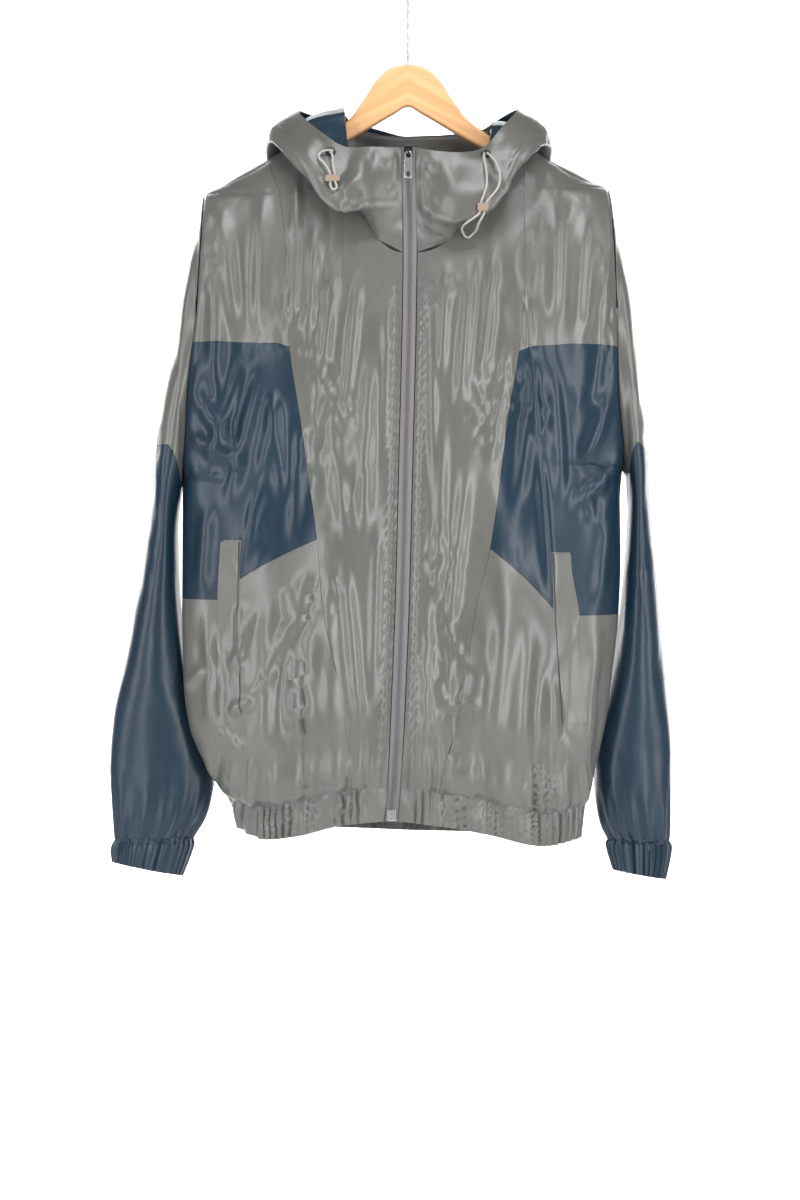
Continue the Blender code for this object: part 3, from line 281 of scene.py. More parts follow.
# Drop of each cross seam on each line: top edge, top of the dark block, underarm, then the block's stepped
# lower edge in three steps, the band's top seam and the hem.
FRONT_ROWS = {
    "left": {
        "zip": (334, 430, 545, 600, 632, 690, BAND_TOP, HEM),
        "neck": (184, 431, 545, 598, 631, 690, BAND_TOP, HEM),
        "seam": (231, 432, 550, 596, 630, 690, BAND_TOP, HEM),
        "pleat": (237, 428, 555, 630, 670, 694, BAND_TOP, HEM),
        "pocket": (252, 426, 558, 630, 660, 690, BAND_TOP, HEM),
        "side": (269, 425, 560, 630, 660, 690, BAND_TOP, HEM),
    },
    "right": {
        "zip": (334, 432, 545, 604, 640, 700, BAND_TOP, HEM),
        "neck": (199, 435, 545, 602, 640, 700, BAND_TOP, HEM),
        "seam": (216, 437, 548, 600, 640, 700, BAND_TOP, HEM),
        "pleat": (226, 432, 550, 643, 698, 712, BAND_TOP, HEM),
        "pocket": (244, 428, 552, 643, 675, 704, BAND_TOP, HEM),
        "side": (262, 430, 552, 643, 675, 704, BAND_TOP, HEM),
    },
}
BACK_LINES = {
    "left": {
        "middle": ((184, 0), (921, 0)),
        "neck": ((184, -66), (260, -66), (921, -60)),
        "seam": ((231, -147), (425, -112), (921, -96)),
        "pleat": ((237, -158), (425, -140), (921, -118)),
        "pocket": ((252, -182), (425, -170), (700, -190), (921, -150)),
    },
    "right": {
        "middle": ((184, 0), (921, 0)),
        "neck": ((199, 87), (260, 80), (921, 60)),
        "seam": ((216, 119), (425, 112), (921, 96)),
        "pleat": ((226, 139), (425, 138), (921, 116)),
        "pocket": ((244, 172), (425, 166), (700, 176), (921, 146)),
    },
}
COLUMN_ENDS = (("zip", "neck"), ("neck", "seam"), ("seam", "pleat"), ("pleat", "pocket"), ("pocket", "side"))
NECK_CORNERS = (0.0, 0.27, 0.52, 0.73, 0.88, 0.965, 1.0)  # places along each half of the neckline, from the middle
NECK_STEPS = len(NECK_CORNERS) - 1
ROW_STEPS = (5, 4, 2, 1, 1, 6, 1)
SHOULDER, BLOCK, HIP = "front_shoulder", "front_block", "front_hip"
BAND_ROW = 6  # the hem band is the last row
FRONT_PANELS = {  # for each panel, its blocks: column, first row boundary, last row boundary
    "front_center": ((0, 0, 6), (1, 0, 6)),
    SHOULDER: ((2, 0, 1), (3, 0, 1), (4, 0, 1)),
    BLOCK: ((2, 1, 4), (3, 1, 3), (4, 1, 5)),
    HIP: ((2, 4, 6), (3, 3, 6), (4, 5, 6)),
}


def rows_of(side, front, line):
    if front:
        return FRONT_ROWS[side][line]
    if line == "middle":
        top = (NECK["left"]["drop"] + NECK["right"]["drop"]) / 2 + NECK_BACK_DIP
        return (top, *FRONT_ROWS["left"]["neck"][1:])
    return FRONT_ROWS[side][line]


def line_at(side, front, line, row, share):
    """(angle, drop) on one of the lines that run down a panel, a share of the way through a row."""
    rows = rows_of(side, front, line)
    if line == "side" and row < 2:  # evenly round the armhole
        centre, half = armhole_span(side)
        turns = np.arccos(np.clip((centre - np.array(rows[:3], float)) / half, -1, 1))
        drop = centre - half * math.cos(turns[row] + (turns[row + 1] - turns[row]) * share)
        return math.pi / 2, drop
    drop = rows[row] + (rows[row + 1] - rows[row]) * (share**1.7 if row == 0 else share)
    if line == "side":
        return math.pi / 2, drop
    if line == "zip":
        x = float(zip_x(drop)) + SIGN[side] * ZIP_HALF
    else:
        table = (FRONT_LINES if front else BACK_LINES)[side][line]
        x = float(hermite(*column(table, 0, 1), drop))
    if line == "neck" and row == 0 and share == 0:
        return math.pi / 2, drop
    if line == "middle":
        return 0.0, drop
    if line in ("seam", "pleat", "pocket") and row == 0 and share == 0:
        return math.pi / 2, drop
    return float(angle_of(side, front, x, drop)), drop


def neckline(side, front, share):
    """(x, drop) on the neckline, from the middle to where it crosses the shoulder."""
    turn = share * math.pi / 2
    drop_side = NECK[side]["drop"]
    if front:
        drop_middle = NECK_FRONT_DROP
        start = float(zip_x(NECK_FRONT_DROP)) + SIGN[side] * ZIP_HALF
    else:
        drop_middle = rows_of(side, False, "middle")[0]
        start = float(middle_x(False, drop_middle))
    x = start + (NECK[side]["x"] - start) * math.sin(turn)
    return x, drop_side + (drop_middle - drop_side) * math.cos(turn)


def block_grid(side, front, ends, row, across, down):
    """(angle, drop) over one block, between two lines and two cross seams."""
    a = np.array([line_at(side, front, ends[0], row, j / down) for j in range(down + 1)])
    b = np.array([line_at(side, front, ends[1], row, j / down) for j in range(down + 1)])
    grid = a[:, None] + (b - a)[:, None] * np.linspace(0, 1, across + 1)[None, :, None]
    if row == 0 and ends[0] in ("zip", "middle"):
        grid = neck_block(side, front, grid, across, down)
    return grid


def neck_block(side, front, grid, across, down):
    """The block under the neckline: its edges kept or put on the neckline, its inside blended between them."""

    def flat(cells):
        x = middle_x(front, cells[..., 1])
        x = x + (side_x(side, cells[..., 1]) - x) * np.sin(cells[..., 0])
        return np.stack([x, cells[..., 1]], axis=-1)

    shares = np.interp(np.linspace(0, NECK_STEPS, across + 1), range(NECK_STEPS + 1), NECK_CORNERS)
    top = np.array([neckline(side, front, share) for share in shares])
    low, first, last = flat(grid[-1]), flat(grid[:, 0]), flat(grid[:, -1])
    u = np.linspace(0, 1, across + 1)[None, :, None]
    v = np.linspace(0, 1, down + 1)[:, None, None]
    corners = (1 - u) * (1 - v) * top[0] + u * (1 - v) * top[-1] + (1 - u) * v * low[0] + u * v * low[-1]
    inside = (1 - v) * top[None] + v * low[None] + (1 - u) * first[:, None] + u * last[:, None] - corners
    made = np.stack([angle_of(side, front, inside[..., 0], inside[..., 1]), inside[..., 1]], axis=-1)
    made[-1], made[:, 0], made[:, -1] = grid[-1], grid[:, 0], grid[:, -1]
    return made


def grid_points(side, front, grid, spread=0.02):
    """Points of the body at a grid of (angle, drop), and the outward directions there."""
    angle, drop = grid[..., 0], grid[..., 1]
    here = body_point(side, front, angle, drop)
    step_a = np.where(angle > math.pi / 2 - spread, -spread, spread)
    along = (body_point(side, front, angle + step_a, drop) - here) * np.sign(step_a)[..., None]
    down = body_point(side, front, angle, drop + 2.0) - here
    normal = np.cross(along, down) * (-1 if (side == "right") == front else 1)
    normal /= np.linalg.norm(normal, axis=-1, keepdims=True) + 1e-12
    return here, normal


SLEEVE = {  # stations: outer line x and drop, inner line x and drop, front and back depth y
    "left": (
        (-211, 269, -233, 560, -34, 30),
        (-231, 340, -238, 572, -36, 38),
        (-243, 415, -240, 586, -36, 44),
        (-256, 475, -242, 602, -34, 50),
        (-266, 535, -243, 625, -30, 55),
        (-274, 610, -242, 662, -22, 59),
        (-286, 690, -240, 716, -13, 61),
        (-298, 757, -233, 775, -7, 61),
        (-310, 812, -221, 824, -1, 59),
        (-315, 872, -207, 873, 4, 56),
        (-312, 920, -213, 916, 8, 53),
        (-309, 945, -228, 943, 13, 48),
        (-312, 956, -230, 953, 12, 49),
        (-312, 970, -240, 984, 12, 49),
    ),
    "right": (
        (207, 262, 225, 552, -34, 30),
        (228, 346, 231, 566, -36, 38),
        (237, 405, 232, 580, -36, 44),
        (245, 475, 233, 598, -34, 51),
        (253, 545, 232, 627, -29, 57),
        (257, 625, 229, 672, -21, 61),
        (264, 700, 224, 727, -13, 63),
        (271, 775, 214, 787, -6, 63),
        (277, 840, 201, 843, 0, 61),
        (278, 890, 199, 890, 4, 58),
        (277, 930, 205, 927, 9, 53),
        (275, 948, 213, 945, 14, 47),
        (277, 956, 213, 953, 13, 48),
        (272, 988, 219, 978, 13, 48),
    ),
}
SLEEVE_END, CUFF_END = 11, 13  # the stations where the cuff begins and ends
# Where the light upper sleeve meets the dark lower one: angle round the sleeve from its outer line, station.
SLEEVE_SEAM = ((0, 4.2), (60, 3.5), (100, 2.6), (180, 1.0))


def sleeve_angles(side, finer=1):
    """Angles of the points round the armhole, front half then back half, that the body panels have too."""
    centre, half = armhole_span(side)
    turn = math.acos((centre - FRONT_ROWS[side]["side"][1]) / half)
    upper, lower = ROW_STEPS[0] * finer, ROW_STEPS[1] * finer
    front = [turn * j / upper for j in range(upper)]
    front += [turn + (math.pi - turn) * j / lower for j in range(lower + 1)]
    return front + [2 * math.pi - a for a in reversed(front[1:-1])]


def sleeve_point(side, angle, station):
    """A point of the sleeve's inner surface: the angle runs from the outer line by the front to the inner line."""
    table = np.array(SLEEVE[side], float)
    keys = np.arange(len(table))
    station = np.broadcast_to(np.asarray(station, float), np.shape(angle))
    v = rounded(keys, table, station)
    cos, sin = np.cos(angle), np.sin(angle)
    x = (v[..., 0] + v[..., 2]) / 2 + (v[..., 0] - v[..., 2]) / 2 * cos
    drop = (v[..., 1] + v[..., 3]) / 2 + (v[..., 1] - v[..., 3]) / 2 * cos
    ease = smoothstep(0, 1.5, station)
    # The armhole is centred on y = 0, and the tube below it on the middle of its own depth.
    middle = ease * (v[..., 4] + v[..., 5]) / 2
    reach = np.where(sin > 0, middle - v[..., 4], v[..., 5] - middle)
    y = middle - sin * reach
    # It starts just outside the armhole's edge, and stays outside the body's side until it can pass behind it.
    sign = SIGN[side]
    outside = (side_x(side, drop) - x) * sign + JOIN_CLEAR
    x += sign * np.maximum(outside, 0) * (1 - smoothstep(3.5, 5.5, station))
    x += sign * np.minimum(outside, 0) * (1 - smoothstep(0, 0.8, station))
    return np.stack([x, y, -drop], axis=-1)


def seam_station(angle):
    degrees = math.degrees(min(angle, 2 * math.pi - angle))
    return float(hermite(*column(SLEEVE_SEAM, 0, 1), degrees))


HOOD = {  # fold x, y, drop, edge x, y, drop
    "left": (
        (-6.4, -62, 285, -7.5, -62, 227),
        (-42, -84, 290, -36, -65, 227),
        (-74, -80, 294, -66, -62, 226),
        (-106, -70, 257, -94, -54, 207),
        (-144, -26, 215, -114, -22, 183),
        (-138, 50, 262, -98, 34, 178),
        (-92, 98, 328, -62, 62, 180),
        (0, 112, 350, 0, 82, 194),
    ),
    "right": (
        (8.6, -62, 285, 7.5, -62, 227),
        (46, -84, 306, 38, -64, 232),
        (88, -78, 288, 74, -60, 229),
        (114, -66, 248, 97, -50, 204),
        (145, -24, 218, 114, -20, 181),
        (139, 50, 260, 99, 34, 180),
        (96, 98, 328, 60, 62, 200),
        (0, 112, 350, 0, 82, 194),
    ),
}
# The sections' places on the neckline: 0 is the zip, 1 the shoulder and 2 the middle of the back.
HOOD_NECK_SHARES = (0.0, 0.36, 0.62, 0.86, 1.0, 1.3, 1.65, 2.0)
HOOD_ROWS = (0.0, 0.11, 0.22, 0.31, 0.4, 0.46, 0.52, 0.63, 0.75, 0.88, 1.0)  # shares of the way up a section


def on_neckline(side, share):
    """Point of the body's neckline and the outward direction there."""
    front = share <= 1
    x, drop = neckline(side, front, share if front else 2 - share)
    angle = math.pi / 2 if abs(share - 1) < 1e-6 else float(angle_of(side, front, x, drop))
    point, normal = grid_points(side, front, np.array([[[angle, drop]]], float))
    return point[0, 0], normal[0, 0]


def neck_corner(side, share):
    """The hood's edge beside one of the corners of the body's neckline: just inside it, and then above it."""
    here, normal = on_neckline(side, share)
    along = on_neckline(side, min(share + 0.04, 2))[0] - on_neckline(side, max(share - 0.04, 0))[0]
    inward = np.cross(along, normal)
    inward *= np.sign(inward @ (np.array([0, 0, -NECK_FRONT_DROP + 200.0]) - here)) / np.linalg.norm(inward)
    lift = (CLOTH + LINING + SEAM_GAP) * float(smoothstep(0.05, 0.5, share))
    up = 3.2 * float(smoothstep(0.6, 0.95, share))
    up += 2.5 * float(smoothstep(0.7, 1.0, share) * smoothstep(1.4, 1.0, share))
    return here + inward * 0.35 + normal * lift + np.array([0, 0, up])


HOOD_CORNERS = (*NECK_CORNERS, *(2 - share for share in NECK_CORNERS[-2::-1]))


def hood_neck(side, share):
    """The hood's edge at the neckline. share runs from the zip (0) by the shoulder (1) to the back (2)."""
    step = int(np.clip(np.searchsorted(HOOD_CORNERS, share, side="right") - 1, 0, len(HOOD_CORNERS) - 2))
    low, high = HOOD_CORNERS[step : step + 2]
    part = (share - low) / (high - low)
    return neck_corner(side, low) * (1 - part) + neck_corner(side, high) * part


FOLD_REACH, FOLD_OPEN = 7, 3.0  # how far the hood's round fold reaches up its two walls, and opens them


def hood_profile(side, section):
    """The points that a section's curve passes: neckline, near wall, three round the fold, far wall and edge."""
    keys = np.arange(len(HOOD[side]))
    row = rounded(keys, np.array(HOOD[side], float), np.array(section, float))
    share = float(hermite(keys, HOOD_NECK_SHARES, section))
    seam = hood_neck(side, share)
    fold = np.array([row[0], row[1], -row[2]])
    edge = np.array([row[3], row[4], -row[5]])
    away = fold - seam
    away[2] = 0
    away /= np.linalg.norm(away) + 1e-9
    size = np.linalg.norm(fold - edge)
    pouch = float(smoothstep(4.0, 6.0, section))
    front = float(smoothstep(0.3, 1.5, section))
    shoulder = float(smoothstep(2.0, 3.2, section) * smoothstep(5.0, 4.0, section))
    near = seam + (fold - seam) * 0.5 + np.array([0, 0, 1]) * (4 + 26 * pouch) * front + away * 10 * pouch
    near += np.array([0, -2, 3]) * shoulder
    far = fold + (edge - fold) * 0.5 + away * (0.12 * size) * front + np.array([0, 0, 3]) * shoulder
    # A fallen hood turns back on itself in a round fold, not in a sharp one.
    down, up = near - fold, far - fold
    down, up = down / np.linalg.norm(down), up / np.linalg.norm(up)
    under, over = fold + down * FOLD_REACH, fold + up * FOLD_REACH
    apart = (over - under) / np.linalg.norm(over - under) * FOLD_OPEN * (1 + down @ up) / 2
    return np.array([seam, near, under - apart, fold, over + apart, far, edge])


def hood_sections():
    """Sections at the neckline's corners, and between those that lie far apart."""
    fine = np.linspace(0, len(HOOD_NECK_SHARES) - 1, 701)
    share = hermite(np.arange(len(HOOD_NECK_SHARES)), HOOD_NECK_SHARES, fine)
    wanted = list(HOOD_CORNERS)
    wanted += [(a + b) / 2 for a, b in zip(HOOD_CORNERS, HOOD_CORNERS[1:]) if b - a > 0.1]
    return np.interp(sorted(wanted), share, fine)


PROFILE_AT = np.array([0.0, 0.22, 0.4, 0.46, 0.52, 0.75, 1.0])


def hood_grid(side, sections, shares):
    """Points and outward directions of the hood's surface, a row for each share of the way up."""
    sections, shares = np.asarray(sections, float), np.asarray(shares, float)

    def curves(at, up):
        return np.stack([rounded(PROFILE_AT, hood_profile(side, float(s)), up) for s in at], axis=1)

    here = curves(sections, shares)
    step = np.where(sections > len(HOOD[side]) - 1.05, -0.02, 0.02)
    over = (curves(sections + step, shares) - here) / step[None, :, None]
    rise = curves(sections, np.minimum(shares + 0.01, 1)) - curves(sections, np.maximum(shares - 0.01, 0))
    normal = np.cross(over, rise) * (-1 if side == "left" else 1)
    normal[:, sections > len(HOOD[side]) - 1 - 1e-6, 0] = 0
    return here, normal / (np.linalg.norm(normal, axis=-1, keepdims=True) + 1e-9)


WELTS = {  # drop, inner x, outer x
    "left": ((632, -173, -192), (690, -175, -196), (745, -173, -197), (795, -171, -195)),
    "right": ((645, 148, 167), (692, 151, 171), (745, 154, 177), (801, 158, 184)),
}
WELT_IN, WELT_OUT = 1.6, 2.8  # the welt's two faces, from the body's inner surface


def over_body(side, x, drop):
    """Points and directions of the front at a grid of x and drop."""
    return grid_points(side, True, np.stack([angle_of(side, True, x, drop), drop], axis=-1))


ZIP_TOP = 227
SLIDER_DROP = 232  # middle of the slider's body
TAPE_EDGE = 0.5


def zip_line(drop):
    """The zip's middle line: on the body's front, then up the front of the hood."""
    body = body_point("left", True, np.zeros_like(drop), np.maximum(drop, NECK_FRONT_DROP))
    profile = rounded(PROFILE_AT, hood_profile("left", 0.0), np.linspace(1, 0, 25))
    hood_y = np.interp(drop, -profile[:, 2], profile[:, 1])
    body[:, 1] = np.where(drop < NECK_FRONT_DROP, hood_y, body[:, 1])
    body[:, 0] = zip_x(drop)
    body[:, 2] = np.where(drop < NECK_FRONT_DROP, -drop, body[:, 2])
    return body


EYELET_AT = {"left": (-80, 233.5), "right": (80, 235.6)}
EYELET_OUT = 2.2  # from the hood's inner surface to the eyelet's back
EYELET_SPREAD = 1.5  # half the distance between the two strands in the eyelet
CORD_RADIUS = 1.15
CORD_OUT = 4.2  # from the cloth to the middle of the cord
CORD_NEAR = 8  # the cord keeps clear of all the cloth this near its route
EYELET_SINK = 0.4  # where a strand starts, in front of the eyelet's back
STRAND_LEAD = 2.2  # how far a strand runs straight out of the eyelet
# The two strands leave the eyelet, run through the stopper and meet in the loop below it: x and drop.
CORDS = {
    "left": (
        (-86.5, 232.6), (-91.0, 235.5), (-91.0, 240.0), (-86.5, 245.0), (-82.6, 250.5), (-80.0, 256.0),
        (-79.6, 261.0), (-79.4, 266.0), (-79.2, 270.0), (-76.6, 273.6), (-73.4, 272.4), (-73.2, 269.0),
        (-74.6, 266.0), (-74.8, 261.0), (-75.2, 256.0), (-76.6, 249.0), (-77.2, 242.0), (-77.2, 238.6),
    ),
    "right": (
        (77.6, 240.0), (79.2, 249.0), (80.2, 260.0), (79.4, 272.0), (76.2, 281.0), (74.2, 287.0), (73.8, 292.0),
        (73.2, 297.0), (67.6, 302.4), (60.0, 307.5), (56.6, 314.5), (60.8, 319.4), (67.0, 315.0), (72.8, 306.5),
        (77.4, 298.0), (78.4, 292.0), (79.4, 287.0), (84.0, 281.0), (90.5, 273.0), (94.0, 262.0), (92.0, 250.5),
        (88.0, 241.5), (85.0, 238.0),
    ),
}  # fmt: skip


def hood_front(side, x, drop):
    """Point and outward direction of the hood's front under a given x and drop."""
    points, normals = hood_grid(side, np.linspace(0.3, 3.6, 67), np.linspace(0.3, 1, 57))
    away = np.hypot(points[..., 0] - x, points[..., 2] + drop) + np.where(normals[..., 1] < 0, 0, 1e3)
    best = np.unravel_index(np.argmin(away), away.shape)
    return points[best], normals[best]


def front_cover(side):
    """Points of all that a cord hangs in front of."""
    hood, _ = hood_grid(side, np.linspace(0, 4, 81), np.linspace(0, 1, 57))
    x, drop = np.meshgrid(SIGN[side] * np.arange(24, 116, 3.0), np.arange(250, 345, 3.0))
    body, _ = over_body(side, x, drop)
    return np.vstack([hood.reshape(-1, 3), body.reshape(-1, 3)])


def smooth_path(rows, steps):
    """Points evenly along a round curve through the rows."""
    rows = np.array(rows, float)
    along = run_along(rows)
    fine = rounded(along, rows, np.linspace(0, along[-1], steps * 8))
    run = run_along(fine)
    return at_run(np.linspace(0, run[-1], steps), run, fine)


def eyelet_centre(side):
    here, normal = hood_front(side, *EYELET_AT[side])
    return np.array([EYELET_AT[side][0], here[1], -EYELET_AT[side][1]]) + normal * EYELET_OUT, normal


def cord_path(side):
    cover = front_cover(side)
    centre, normal = eyelet_centre(side)
    rows = []
    for x, drop in CORDS[side]:
        near = np.hypot(cover[:, 0] - x, cover[:, 2] + drop) < CORD_NEAR
        rows.append(np.array([x, cover[near, 1].min() - CORD_OUT, -drop]))
    ends = []
    for sign in (1, -1):
        start = centre + np.array([-EYELET_SPREAD * sign * SIGN[side], 0, 0]) + normal * EYELET_SINK
        ends.append([start, start + normal * STRAND_LEAD])
    path = [*ends[0], *rows, *ends[1][::-1]]
    return smooth_path(path, 72)


HANGER_THICK = 12.0
HANGER_TOP = ((0, 130.6), (18, 134), (33, 147), (43, 162), (52, 175))  # x, drop, to either side
ARM_TOP = ((59, 185), (85, 205), (115, 223), (150, 242), (188, 262.5))
ARM_TIP = 200
ARM_FOOT = ((183, 276), (60, 209), (14, 182))  # the arm's underside, x and drop, from the tip back to the middle
APEX = 174.7
HOOK_RADIUS, HOOK_MIDDLE, HOOK_NECK, HOOK_TURN, HOOK_WIRE = 24.0, 21.8, 12.5, 70.0, 2.2


def hanger_outline():
    x, drop = ARM_TOP[-1]
    tip = [(ARM_TIP - 4, drop + 6), (ARM_TIP, drop + 13), (ARM_TIP - 4, drop + 18), (x, drop + 18.6)]
    half = [*HANGER_TOP, *ARM_TOP, *tip, *ARM_FOOT]
    return half + [(0, APEX)] + [(-x, d) for x, d in half[:0:-1]]


def hook_path():
    """x and z of the wire's middle, from the shaft's foot to the tip."""
    turn = math.radians(HOOK_TURN)
    start = -HOOK_MIDDLE - HOOK_RADIUS * math.cos(turn) - HOOK_NECK * math.sin(turn)
    path = [(0, 0, z) for z in np.linspace(-(HANGER_TOP[0][1] + 17), start, 6)[:-1]]
    path += [(HOOK_NECK * (1 - math.cos(a)), 0, start + HOOK_NECK * math.sin(a)) for a in np.linspace(0, turn, 7)[:-1]]
    meets = turn - math.radians(140)  # where the neck's arc runs into the big one: 20 degrees past straight down
    for a in np.linspace(meets, math.radians(205), 26):
        path.append((HOOK_RADIUS * math.cos(a), 0, -HOOK_MIDDLE + HOOK_RADIUS * math.sin(a)))
    return path


# ---------------------------------------------------------------- creases

# Creases listed for the front: ridges (height > 0) and troughs, from (x, drop) to (x, drop).
CREASES = (  # x0, drop0, x1, drop1, half width, height
    (-122, 677, -122, 709, 4.5, 2.2), (-122, 709, -137, 755, 4.5, 2.6), (-137, 755, -160, 782, 4.5, 2.4),
    (-160, 782, -184, 796, 4.5, 2.0), (-104, 660, -113, 728, 6, 2.6), (-113, 728, -117, 850, 6, 2.8),
    (-97, 665, -106, 730, 4, -2.2), (-106, 730, -109, 850, 4, -2.6), (-195, 808, -165, 838, 5, 2.2),
    (-165, 838, -150, 880, 5, 2.0), (-174, 690, -172, 752, 4, 1.8), (-160, 698, -171, 737, 4, 1.8),
    (-171, 737, -182, 756, 4, 1.6), (-233, 782, -208, 752, 5, 2.0), (-135, 480, -150, 570, 7, 2.2),
    (-150, 570, -170, 665, 7, 2.0), (121, 380, 126, 440, 5, 2.4), (126, 440, 134, 535, 5, 2.4),
    (134, 535, 147, 695, 5, 2.2), (30, 798, 78, 790, 6, 1.6), (-115, 252, -121, 325, 5, 2.2),
    (-112, 262, -120, 420, 5, 2.6), (-96, 300, -104, 430, 6, 2.2), (-74, 330, -90, 470, 7, 2.4),
    (-50, 350, -66, 520, 6, 2.0), (-38, 430, -46, 640, 7, 2.2), (-84, 470, -62, 640, 7, 2.0),
    (-20, 350, -24, 560, 5, 1.6), (-30, 600, -36, 800, 7, 2.2), (-66, 640, -48, 840, 7, 2.4),
    (22, 360, 26, 600, 5, 1.8), (40, 340, 34, 470, 6, 2.2), (66, 330, 52, 500, 6, 2.4),
    (90, 320, 74, 470, 6, 2.4), (104, 420, 84, 560, 6, 2.2), (36, 500, 30, 700, 7, 2.2),
    (62, 540, 40, 740, 7, 2.2), (20, 690, 16, 860, 6, 2.0), (-194, 285, -176, 420, 8, 2.8),
    (-150, 260, -156, 420, 7, 2.4), (-200, 330, -196, 520, 8, 2.8), (-170, 440, -206, 560, 8, 3.0),
    (-150, 450, -186, 600, 8, 3.0), (-222, 470, -172, 560, 8, 3.4), (-226, 520, -180, 548, 7, 3.0),
    (-228, 556, -186, 566, 6, 2.6), (-140, 470, -128, 600, 7, 2.6), (-110, 500, -118, 640, 7, 2.4),
    (-204, 590, -214, 690, 8, 2.6), (152, 270, 150, 410, 7, 2.4), (182, 290, 172, 420, 8, 2.6),
    (204, 330, 190, 500, 8, 2.8), (150, 440, 158, 600, 8, 2.6), (212, 470, 176, 560, 8, 3.2),
    (218, 545, 165, 600, 9, 3.6), (205, 600, 196, 700, 8, 2.4), (128, 470, 112, 600, 7, 2.2),
    (-97, 690, -103, 850, 9, 3.0), (-118, 680, -121, 845, 8, 2.4), (-140, 690, -150, 850, 8, 2.6),
    (-206, 700, -200, 830, 8, 2.8), (-84, 660, -78, 840, 8, 2.2), (96, 700, 88, 850, 8, 2.4),
    (122, 700, 114, 850, 9, 2.6), (148, 740, 142, 850, 8, 2.2), (196, 720, 182, 850, 8, 2.6),
    (72, 740, 64, 850, 8, 2.2),
)  # fmt: skip


def lattice(i, j, seed):
    """A direction for each lattice corner, always the same for one seed."""
    mixed = (i.astype(np.int64) * 374761393 + j.astype(np.int64) * 668265263 + seed * 974634777) & 0xFFFFFFFF
    mixed = ((mixed ^ (mixed >> 13)) * 1274126177) & 0xFFFFFFFF
    return (mixed ^ (mixed >> 16)) / 0xFFFFFFFF * 2 * math.pi


def noise(u, v, seed):
    """Smooth noise from -1 to 1, one lump or so to each unit."""
    i, j = np.floor(u), np.floor(v)
    fu, fv = u - i, v - j
    total = 0
    for di in (0, 1):
        for dj in (0, 1):
            turn = lattice(i + di, j + dj, seed)
            du, dv = fu - di, fv - dj
            wu = 1 - np.abs(du) ** 3 * (10 - 15 * np.abs(du) + 6 * du * du)
            wv = 1 - np.abs(dv) ** 3 * (10 - 15 * np.abs(dv) + 6 * dv * dv)
            total = total + wu * wv * (np.cos(turn) * du + np.sin(turn) * dv)
    return total * 1.5


def crisp(u, v, seed):
    """Sharp ridges between flat facets, as in crumpled thin cloth."""
    return 0.45 - np.sqrt(noise(u, v, seed) ** 2 + 0.0009)


CRUMPLES = (  # height, broad or fine, lean of the across axis, width, lean of the down axis, length, seed's step
    (4.2, True, 0, 46, 0.25, 130, 4),
    (-3.6, True, 0.2, 36, 0, 96, 5),
    (2.2, False, -0.35, 21, 0.3, 44, 6),
    (-1.6, False, 0.25, 15, -0.2, 40, 8),
    (0.4, False, 0, 9, 0, 17, 7),
)


def crumple(u, v, seed, amount=1.0):
    """Height of the small creases of thin crisp cloth that hangs: long down it, short across it, and uneven."""
    bent = u + 16 * noise(u / 90, v / 120, seed + 1)
    much = 0.12 + 0.88 * smoothstep(-0.15, 0.5, noise(u / 95, v / 140, seed + 2))
    fine = 0.04 + 0.96 * smoothstep(0.0, 0.55, noise(u / 62, v / 90, seed + 9))
    height = 3.6 * noise(bent / 66, v / 230, seed + 3)
    for rise, broad, across_lean, width, down_lean, length, step in CRUMPLES:
        across, share = (bent, much) if broad else (u, fine)
        ridges = crisp((across + across_lean * v) / width, (v + down_lean * u) / length, seed + step)
        height += rise * share * ridges
    return height * amount


def shirr(u, seed, pitch):
    """Uneven ribs of gathered cloth, along u."""
    bent = u + pitch * 0.9 * noise(u / (pitch * 2.6), 0 * u + 0.5, seed)
    ribs = np.sin(2 * math.pi * bent / pitch)
    return ribs * (0.75 + 0.5 * noise(u / (pitch * 1.7), 0 * u + 7.5, seed + 1))


SEEDS = {"front": 11, "front_band": 31, "back": 57, "back_band": 71}
CREASE_RAISE = 1.7  # the heights in CREASES are raised by this
STITCH_OFF = 14  # from the zip's middle line to the groove that its topstitching pulls in
FAR_FROM_ZIP = 99.0


def front_height(x, drop):
    height = crumple(x, drop, SEEDS["front"]) + crease(CREASES, x, drop) * CREASE_RAISE
    near_zip = np.abs(x - zip_x(drop))
    height *= 0.25 + 0.75 * smoothstep(8, 34, near_zip)
    beside = np.exp(-(((near_zip - STITCH_OFF) / 5) ** 2))
    height += 0.45 * beside * np.sin(drop / 1.9 + 2.5 * noise(drop / 40, 0 * drop + 3.5, 90) + 0.6 * x)
    height -= 1.1 * np.exp(-(((near_zip - STITCH_OFF) / 1.7) ** 2))
    return band_height(height, x, drop, near_zip, SEEDS["front_band"])


def back_height(x, drop):
    height = crumple(x, drop, SEEDS["back"], 0.9)
    return band_height(height, x, drop, np.full_like(x, FAR_FROM_ZIP), SEEDS["back_band"])


